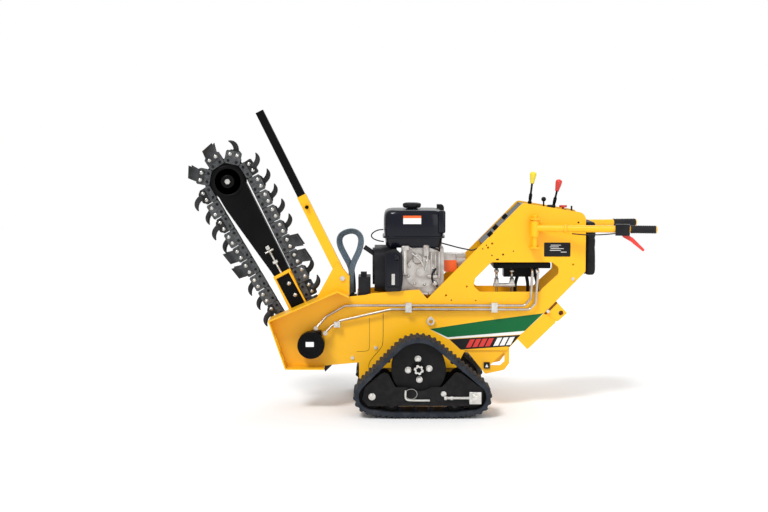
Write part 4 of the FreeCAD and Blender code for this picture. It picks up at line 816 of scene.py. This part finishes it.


# ------------------------------------------------------------------ window: a black block of painted shade over the valve spools and hoses
# A black block across the top of the window is painted shade, a dark slab where the inside behind the valves
# lies in shadow.
SHADE_BLOCK_LOW, SHADE_BLOCK_HIGH = (0.372, -0.140, 0.690), (0.652, 0.140, 0.717)
new_piece("painted_shade_block", *rounded_block(SHADE_BLOCK_LOW, SHADE_BLOCK_HIGH, 0.004), black, "chassis", "black_paint")
SPOOL = [(0, 0.007), (0.064, 0.007), (0.068, 0.0105), (0.089, 0.0105), (0.090, 0.0065), (0.117, 0.0065),
         (0.118, 0.0115), (0.131, 0.0115), (0.132, 0.007), (0.150, 0.007)]
for index, spool_x in enumerate((0.394, 0.470)):
    spool = turned(SPOOL, (spool_x, -0.045, 0.545), (0, 0, 1), 20)
    elbow = rounded_block((spool_x - 0.013, -0.056, 0.598), (spool_x + 0.013, -0.034, 0.620), 0.004)
    new_piece("valve_spool_%d" % (index + 1), *joined(spool, elbow), zinc, "chassis", "zinc")
for index, (top_x, foot_x) in enumerate(((0.512, 0.492), (0.545, 0.556), (0.588, 0.604))):
    hose_route = [(top_x, 0.03, 0.705), (top_x, 0.028, 0.665), ((top_x + foot_x) / 2, 0.02, 0.63),
                  (foot_x, 0.015, 0.60), (foot_x, 0.015, 0.552)]
    bar("valve_hose_%d" % (index + 1), hose_route, 0.0085, plastic, slot="black_plastic", sides=14)
manifold = rounded_block((0.378, -0.057, 0.590), (0.486, -0.033, 0.608), 0.004)
new_piece("valve_manifold", *manifold, zinc, "chassis", "zinc")


# ------------------------------------------------------------------ console tabs, ball knob and switch cap
SLOPE = math.radians(45.4)
tab_points, tab_faces = rounded_block((-0.014, -0.0012, -0.009), (0.014, 0.03, 0.009), 0.001, 2)
tilt = np.array([[math.cos(SLOPE), 0, math.sin(SLOPE)], [0, 1, 0], [-math.sin(SLOPE), 0, math.cos(SLOPE)]])
tabs = [(tab_points @ tilt + np.array(spot), tab_faces)
        for spot in ((0.4245, -0.153, 0.945), (0.379, -0.153, 0.892), (0.3535, -0.153, 0.860))]
new_piece("console_tabs", *joined(*tabs), black, "chassis", "black_paint")
BALL_KNOB = [(0, 0.004), (0.030, 0.004), (0.032, 0.008), (0.037, 0.0115), (0.042, 0.0122), (0.048, 0.010),
             (0.052, 0.005)]
SWITCH_CAP = [(0, 0.017), (0.010, 0.017), (0.013, 0.014), (0.014, 0.006)]
ball = turned(BALL_KNOB, (0.625, -0.05, 0.985), (0, 0, 1), 24)
switch_cap = turned(SWITCH_CAP, (0.657, -0.06, 0.985), (0, 0, 1), 24)
new_piece("console_knob", *joined(ball, switch_cap), plastic, "chassis", "black_plastic")


# ------------------------------------------------------------------ control knobs and grips
def lever_way(pivot, tip):
    """The unit way from a lever's pivot to its tip."""
    way = np.asarray(tip, float) - np.asarray(pivot, float)
    return way / np.linalg.norm(way)


def tapered_knob(name, pivot, tip, look, body, slot, length=0.062, top=0.0175, foot_radius=0.0095):
    """A knob: a turned profile that swells from a narrow foot to a domed head."""
    way = lever_way(pivot, tip)
    t = np.linspace(0, 1, 14)
    grow = foot_radius + (top - foot_radius) * np.sin(t * math.pi / 2) ** 1.3
    cap_round = np.sqrt(np.clip(1 - (np.clip((t - 0.72) / 0.28, 0, 1)) ** 2, 0.001, 1))
    profile = np.stack([t * length, grow * cap_round], axis=1)
    start = np.asarray(tip, float) - way * length
    return new_piece(name, *turned(profile, start, way, 28), look, body, slot)


for name, node_name, x, y, tip_x, tip_z, look, body, slot in (
    ("boom_lever_knob", "boom_lever", 559, -20, 577, 1150, knob_yellow, "boom_stick", "knob_yellow"),
    ("drive_lever_knob", "drive_lever", 683, 30, 712, 1108, red, "drive_stick", "knob_red"),
):
    low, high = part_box(node_name)
    pivot = np.array([x / 1000, y / 1000, low[2] + 0.0105])
    tip = np.array([tip_x / 1000, y / 1000, high[2] - 0.001])
    way = lever_way(pivot, tip)
    shank = turned([(0.0, 0.0055), (0.02, 0.0085), (0.04, 0.0085), (0.046, 0.0052),
        (float(np.linalg.norm(tip - pivot)) - 0.05, 0.0050)], pivot, way, 16)
    ball_t = np.linspace(0.02, math.pi - 0.02, 12)
    ball = turned(np.stack([-0.0105 * np.cos(ball_t), 0.0105 * np.sin(ball_t)], axis=1), pivot, way, 20)
    stick = new_piece(node_name + "_shank", *joined(shank, ball), black, body, "black_paint")
    knob = tapered_knob(name, pivot, tip, look, body, slot)
    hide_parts(node_name)


# ------------------------------------------------------------------ handles
SPLAY = math.radians(11)


def on_handle(points, mirrored=False):
    """Points of a handle's own frame, x along the bar from its hinge, in the machine's frame."""
    points = np.asarray(points, float)
    x = 0.568 + points[:, 0] * math.cos(SPLAY) + points[:, 1] * math.sin(SPLAY)
    y = -0.195 - points[:, 0] * math.sin(SPLAY) + points[:, 1] * math.cos(SPLAY)
    z = 0.891 + points[:, 2]
    return np.stack([x, -y if mirrored else y, z], axis=1)


def ribbed_grip():
    """A rubber grip: a turned profile with a flange, shallow ribs that follow a sine, and a domed end."""
    x = np.linspace(0.461, 0.586, 90)
    t = (x - x[0]) / (x[-1] - x[0])
    radius = 0.0188 + 0.0009 * np.sin(t * 2 * math.pi * 15) * (t > 0.12) * (t < 0.9)
    radius = np.where(t < 0.05, 0.0196, radius)
    radius = radius * np.sqrt(np.clip(1 - np.clip((t - 0.93) / 0.072, 0, 1) ** 2, 0.02, 1))
    profile = np.stack([x - x[0], np.minimum(radius, 0.01985)], axis=1)
    return turned(profile, (x[0], 0, 0), (1, 0, 0), 28)


for name, mirrored, body in (("near_grip", False, "near_handle"), ("far_grip", True, "far_handle")):
    points, faces = ribbed_grip()
    grip_piece = new_piece(name + "_rubber", on_handle(points, mirrored), faces, grip_rubber, body,
        "grip_rubber")
    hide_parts(name)
for name, mirrored, body in (("near_collar", False, "near_handle"), ("far_collar", True, "far_handle")):
    points, faces = turned([(0, 0.0172), (0.001, 0.0205), (0.015, 0.0205), (0.016, 0.0172)], (0.141, 0, 0),
        (1, 0, 0), 32)
    new_piece(name, on_handle(points, mirrored), faces, yellow, body, "yellow_paint")
cable_way = smooth_path([(0.18, -0.008, -0.024), (0.25, -0.006, -0.030), (0.33, -0.006, -0.027),
    (0.395, -0.008, -0.020)], 30)
points, faces = sweep(cable_way, circle(0.0028, 10))
new_piece("presence_cable", on_handle(points), faces, plastic, "near_handle", "black_plastic")


# ------------------------------------------------------------------ tracks
BELT_CIRCLES = np.array([(0, 231, 131), (-222, 105, 62), (-130, 64, 35), (170, 64, 35),
    (258, 102, 62)]) / 1000


def belt_path(per_pitch, pitch=0.025):
    """Points and outward normals round the belt's five wheels, evenly spaced: tangent runs joined by arcs."""
    after = np.roll(BELT_CIRCLES, -1, axis=0)
    way = after[:, :2] - BELT_CIRCLES[:, :2]
    distance = np.linalg.norm(way, axis=1)
    normal = np.arctan2(way[:, 1], way[:, 0]) - np.arccos((BELT_CIRCLES[:, 2] - after[:, 2]) / distance)
    out = np.stack([np.cos(normal), np.sin(normal)], axis=1)
    start = BELT_CIRCLES[:, :2] + BELT_CIRCLES[:, 2:] * out
    end = after[:, :2] + after[:, 2:] * out
    run = np.linalg.norm(end - start, axis=1)
    turn = (np.roll(normal, -1) - normal) % (2 * math.pi)
    arc = turn * after[:, 2]
    marks = np.r_[0, np.cumsum(np.stack([run, arc], axis=1).reshape(-1))]
    count = round(marks[-1] / pitch) * per_pitch
    d = np.arange(count) * marks[-1] / count
    piece = np.searchsorted(marks, d, side="right") - 1
    which = piece // 2
    beyond = d - marks[piece]
    share = (beyond / run[which])[:, None]
    line = start[which] + (end[which] - start[which]) * share
    angle = normal[which] + np.where(piece % 2 == 1, beyond / after[which, 2], 0)
    round_spot = after[which, :2] + after[which, 2:] * np.stack([np.cos(angle), np.sin(angle)], axis=1)
    spots = np.where((piece % 2 == 1)[:, None], round_spot, line)
    return spots, np.stack([np.cos(angle), np.sin(angle)], axis=1)


def belt_band(centre):
    """A rubber belt: its section carried round the path; clipped cosines raise the tread and guides."""
    per_pitch = 10
    spots, out = belt_path(per_pitch)
    count = len(spots)
    step = np.arange(count)
    tread = np.clip(0.45 + 1.05 * np.cos(step * 2 * math.pi / per_pitch), 0, 1)[:, None]
    lagged = np.clip(0.45 + 1.05 * np.cos((step - 2) * 2 * math.pi / per_pitch), 0, 1)[:, None]
    guide = np.clip(2.0 * np.cos(step * 2 * math.pi / (3 * per_pitch)) - 0.9, 0, 1)[:, None]
    section = np.array([
        (-90, 1, 0, 0, 0), (-90, 16, 0, 0, 0), (-87, 19, 7, 0, 0), (-72, 20, 9, 0, 0), (-30, 20, 6, 3, 0),
        (0, 20, 2, 7, 0),
        (30, 20, 6, 3, 0), (72, 20, 9, 0, 0), (87, 19, 7, 0, 0), (90, 16, 0, 0, 0), (90, 1, 0, 0, 0),
        (84, 0.2, 0, 0, 0),
        (21, 0.2, 0, 0, 0), (16, 0.2, 0, 0, -13), (-16, 0.2, 0, 0, -13), (-21, 0.2, 0, 0, 0),
        (-84, 0.2, 0, 0, 0),
    ]) / 1000
    lift = section[:, 1] + tread * section[:, 2] + lagged * section[:, 3] + guide * section[:, 4]
    x = spots[:, :1] + out[:, :1] * lift
    z = spots[:, 1:] + out[:, 1:] * lift
    y = centre + section[:, 0] + 0 * x
    faces = grid_faces(count, len(section), wrap_rows=True, wrap_columns=True)
    return np.stack([x, y, np.maximum(z, 0.0)], axis=-1).reshape(-1, 3), faces


belt_piece = new_piece("rubber_belts", *joined(belt_band(-0.355), belt_band(0.355)), rubber, "chassis",
    "track_rubber")
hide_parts("track_belts")
crisp(belt_piece, 48)


def hex_bolt(spot, way, radius, height):
    """A hexagon head on a round washer, its top edge chamfered."""
    washer = turned([(0, radius * 1.25), (height * 0.16, radius * 1.25), (height * 0.18, radius * 1.2)],
        spot, way, 28)
    head = turned([(height * 0.15, radius), (height * 0.9, radius), (height, radius * 0.88),
        (height * 1.001, radius * 0.3)], spot, way, 6)
    return joined(washer, head)


OUT = 0.433
DRIVE_Z = 0.231
HUB_BOLT_CIRCLE = 0.050
fittings = []
for side in (-1, 1):
    face = side * OUT
    way = np.array([0, side, 0.0])
    fittings.append(hex_bolt((-0.222, face, 0.105), way, 0.0135, 0.0125))
    fittings.append(hex_bolt((0.118, face, 0.118), way, 0.0105, 0.008))
    fittings.append(rounded_block((0.239, min(face, face + side * 0.012), 0.070),
        (0.297, max(face, face + side * 0.012), 0.129), 0.003, 3))
    fittings.append(hex_bolt((0.266, face + side * 0.012, 0.100), way, 0.0165, 0.0135))
    screw_x = np.linspace(0, 0.120, 110)
    screw = np.stack([screw_x, 0.0074 + 0.0006 * np.sin(screw_x * 2 * math.pi / THREAD_PITCH)], axis=1)
    fittings.append(turned(screw, (0.120, face + side * 0.009, 0.100), (1, 0, 0), 12))
    for x in (0.120, 0.150):
        fittings.append(turned([(0, 0.0088), (0.0005, 0.0098), (0.0115, 0.0098), (0.012, 0.0088)],
            (x, face + side * 0.010, 0.100), (1, 0, 0), 6))
    pin_way = smooth_path([(-0.062, face + side * 0.006, 0.136), (-0.064, face + side * 0.006, 0.112),
        (-0.062, face + side * 0.0062, 0.092), (-0.040, face + side * 0.0062, 0.088),
        (0.052, face + side * 0.006, 0.088)], 40)
    fittings.append(sweep(pin_way, circle(0.0056, 12)))
    turn = np.linspace(0, 2 * math.pi, 48)
    lanyard = np.stack([-0.036 + 0.028 * np.cos(turn), face + side * (0.0045 + 0.0006 * np.sin(3 * turn)),
        0.118 + 0.024 * np.sin(turn)], axis=1)
    fittings.append(sweep(lanyard, circle(0.0011, 6)))
track_piece = new_piece("track_fittings", *joined(*fittings), zinc, "chassis", "zinc")
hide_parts("track_tensioners")
crisp(track_piece, 40)
for name, side, body in (("near", -1, "near_drive_wheel"), ("far", 1, "far_drive_wheel")):
    low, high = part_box(name + "_sprocket")
    face = low[1] if side < 0 else high[1]
    way = np.array([0, side, 0.0])
    around = np.radians(90 * np.arange(4) + 4)
    heads = [hex_bolt((x, face - side * 0.0119, DRIVE_Z + z), way, 0.0124, 0.0125)
             for x, z in zip(HUB_BOLT_CIRCLE * np.cos(around), HUB_BOLT_CIRCLE * np.sin(around))]
    head_piece = new_piece(name + "_hub_bolts", *joined(*heads), zinc, body, "zinc")
    crisp(head_piece, 40)
    drive_low, drive_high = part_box("drive_motors")
    shaft_face = drive_low[1] if side < 0 else drive_high[1]
    t = np.linspace(0, 2 * math.pi, 48, endpoint=False)
    notch = np.where(np.sin(6 * t) > 0.35, 0.019, 0.0238)
    levels = np.array([(-0.018, 1.0), (0.0, 1.0), (0.0012, 0.94), (0.0012, 0.55), (-0.004, 0.5),
        (-0.004, 0.1)])
    ring_x = levels[:, 1:] * notch * np.cos(t)
    ring_z = levels[:, 1:] * notch * np.sin(t)
    ring_y = shaft_face + side * levels[:, :1] + 0 * ring_x
    castle = np.stack([ring_x, ring_y, DRIVE_Z + ring_z], axis=-1).reshape(-1, 3)
    castle_faces = closed_faces(len(levels), len(t))
    castle_piece = new_piece(name + "_hub_nut", castle, castle_faces, zinc, "chassis", "zinc")
    crisp(castle_piece, 40)


def seam(name, corners, width=2.2):
    """A thin dark line along a softened path on the side plate."""
    path = smooth_path(np.column_stack([np.asarray(corners, float), np.zeros(len(corners))]), 24, 3)[:, :2]
    heading = np.gradient(path, axis=0)
    heading /= np.linalg.norm(heading, axis=1, keepdims=True)
    across = np.stack([-heading[:, 1], heading[:, 0]], axis=1) * width / 2
    decal(name, np.concatenate([path + across, (path - across)[::-1]]), dark_decal, 0.0004)


seam("seam_front", [(-169, 470), (-169, 330), (-176, 300), (-226, 245), (-240, 222), (-240, 186)])
seam("seam_inner", [(-236, 446), (-236, 300), (-240, 286), (-262, 281), (-300, 280)], 1.6)


# ------------------------------------------------------------------ rear pad
pad_low, pad_high = [np.array(c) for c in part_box("rear_pad")]


def pad_form():
    """The rear pad before it swells: a rounded block whose broad face crowns as a product of cosines."""
    points, faces = rounded_block(pad_low + 0.004, pad_high - 0.004, 0.012, 9)
    middle = (pad_low + pad_high) / 2
    half = (pad_high - pad_low) / 2
    rel = (points - middle) / half
    crown = np.cos(rel[:, 1] * math.pi / 2) * np.cos(rel[:, 2] * math.pi / 2)
    points = points.copy()
    points[:, 0] += 0.002 * crown * np.clip(rel[:, 0], 0, 1)
    return points, faces


pad_piece = new_piece("pad_cushion", *pad_form(), seat_black, "chassis", "pad_foam")
PAD_SWELL = 0.005
SWELL_FRAMES = 20
PAD_SLACK = (0, 0.004, 0.004)
remesh = pad_piece.modifiers.new("voxels", "REMESH")
remesh.mode = "VOXEL"
remesh.voxel_size = 0.006
bpy.context.view_layer.objects.active = pad_piece
pad_piece.select_set(True)
bpy.ops.object.modifier_apply(modifier="voxels")
still = np.empty(len(pad_piece.data.vertices) * 3)
pad_piece.data.vertices.foreach_get("co", still)
cloth = pad_piece.modifiers.new("swell", "CLOTH")
cloth.settings.use_pressure = True
cloth.settings.uniform_pressure_force = 4
cloth.settings.effector_weights.gravity = 0
cloth.point_cache.frame_start = 1
cloth.point_cache.frame_end = SWELL_FRAMES
for frame_number in range(1, SWELL_FRAMES + 1):
    bpy.context.scene.frame_set(frame_number)
bpy.ops.object.modifier_apply(modifier="swell")
bpy.context.scene.frame_set(1)
swollen = np.empty_like(still)
pad_piece.data.vertices.foreach_get("co", swollen)
shift = (swollen - still).reshape(-1, 3)
distance = np.linalg.norm(shift, axis=1, keepdims=True)
shift *= np.minimum(1, PAD_SWELL / np.maximum(distance, 1e-9))
settled = still.reshape(-1, 3) + shift
settled[:, 0] = np.maximum(settled[:, 0], pad_low[0] + 0.001)
groove = np.abs(settled[:, 2] - (pad_low[2] + pad_high[2]) / 2 - 0.05)
settled[:, 0] -= 0.003 * np.exp(-((groove / 0.006) ** 2)) * (settled[:,
    0] > (pad_low[0] + pad_high[0]) / 2)
settled = np.clip(settled, pad_low - PAD_SLACK, pad_high + 0.004)
pad_piece.data.vertices.foreach_set("co", settled.reshape(-1))
pad_piece.data.update()
pad_piece.data.polygons.foreach_set("use_smooth", [True] * len(pad_piece.data.polygons))
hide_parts("rear_pad")


# ------------------------------------------------------------------ camera, light and floor
camera = bpy.data.cameras.new("camera")
camera.lens = 70.6
camera.sensor_width = 36
view = bpy.data.objects.new("camera", camera)
view.location = (-0.165, -7.5, 1.347)
view.rotation_euler = (math.radians(90 - 4.63), 0, 0)
bpy.context.scene.collection.objects.link(view)
bpy.context.scene.camera = view

FLOOR_HALF = 14
floor_points = [(x * FLOOR_HALF, y * FLOOR_HALF, 0) for x, y in ((-1, -1), (1, -1), (1, 1), (-1, 1))]
floor_mesh = bpy.data.meshes.new("floor")
floor_mesh.from_pydata(floor_points, [], [(0, 1, 2, 3)])
floor_look = bpy.data.materials.new("floor_white")
floor_look.use_nodes = True
floor_shader = floor_look.node_tree.nodes["Principled BSDF"]
floor_shader.inputs["Base Color"].default_value = (0.995, 0.995, 0.995, 1)
floor_shader.inputs["Roughness"].default_value = 0.8
floor_mesh.materials.append(floor_look)
floor = bpy.data.objects.new("floor", floor_mesh)
bpy.context.scene.collection.objects.link(floor)


def lamp(name, place, target, power, width):
    """A square area lamp at a place, facing a target."""
    light = bpy.data.lights.new(name, "AREA")
    light.energy = power
    light.size = width
    item = bpy.data.objects.new(name, light)
    item.location = place
    item.rotation_euler = (Vector(target) - Vector(place)).to_track_quat("-Z", "Y").to_euler()
    bpy.context.scene.collection.objects.link(item)


sun = bpy.data.lights.new("sun", "SUN")
sun.energy = 1.75
sun.angle = math.radians(16)
sun_item = bpy.data.objects.new("sun", sun)
sun_item.rotation_euler = (Vector((0, 0, 0)) - Vector((-2.4, -4.0, 5.4))).to_track_quat("-Z",
    "Y").to_euler()
bpy.context.scene.collection.objects.link(sun_item)
lamp("front", (2.8, -5.5, 2.4), (0, 0, 0.6), 60, 3.5)
lamp("rim", (1.5, 4.0, 4.5), (0, 0, 0.5), 90, 4)
world = bpy.data.worlds.new("studio")
bpy.context.scene.world = world
world.use_nodes = True
backdrop = world.node_tree
sky = backdrop.nodes["Background"]
sky.inputs["Color"].default_value = (1, 1, 1, 1)
sky.inputs["Strength"].default_value = 0.62
plain = backdrop.nodes.new("ShaderNodeBackground")
plain.inputs["Color"].default_value = (1, 1, 1, 1)
plain.inputs["Strength"].default_value = 1.0
choice = backdrop.nodes.new("ShaderNodeMixShader")
rays = backdrop.nodes.new("ShaderNodeLightPath")
backdrop.links.new(rays.outputs["Is Camera Ray"], choice.inputs[0])
backdrop.links.new(sky.outputs[0], choice.inputs[1])
backdrop.links.new(plain.outputs[0], choice.inputs[2])
backdrop.links.new(choice.outputs[0], backdrop.nodes["World Output"].inputs["Surface"])
bpy.context.scene.view_settings.view_transform = "Standard"
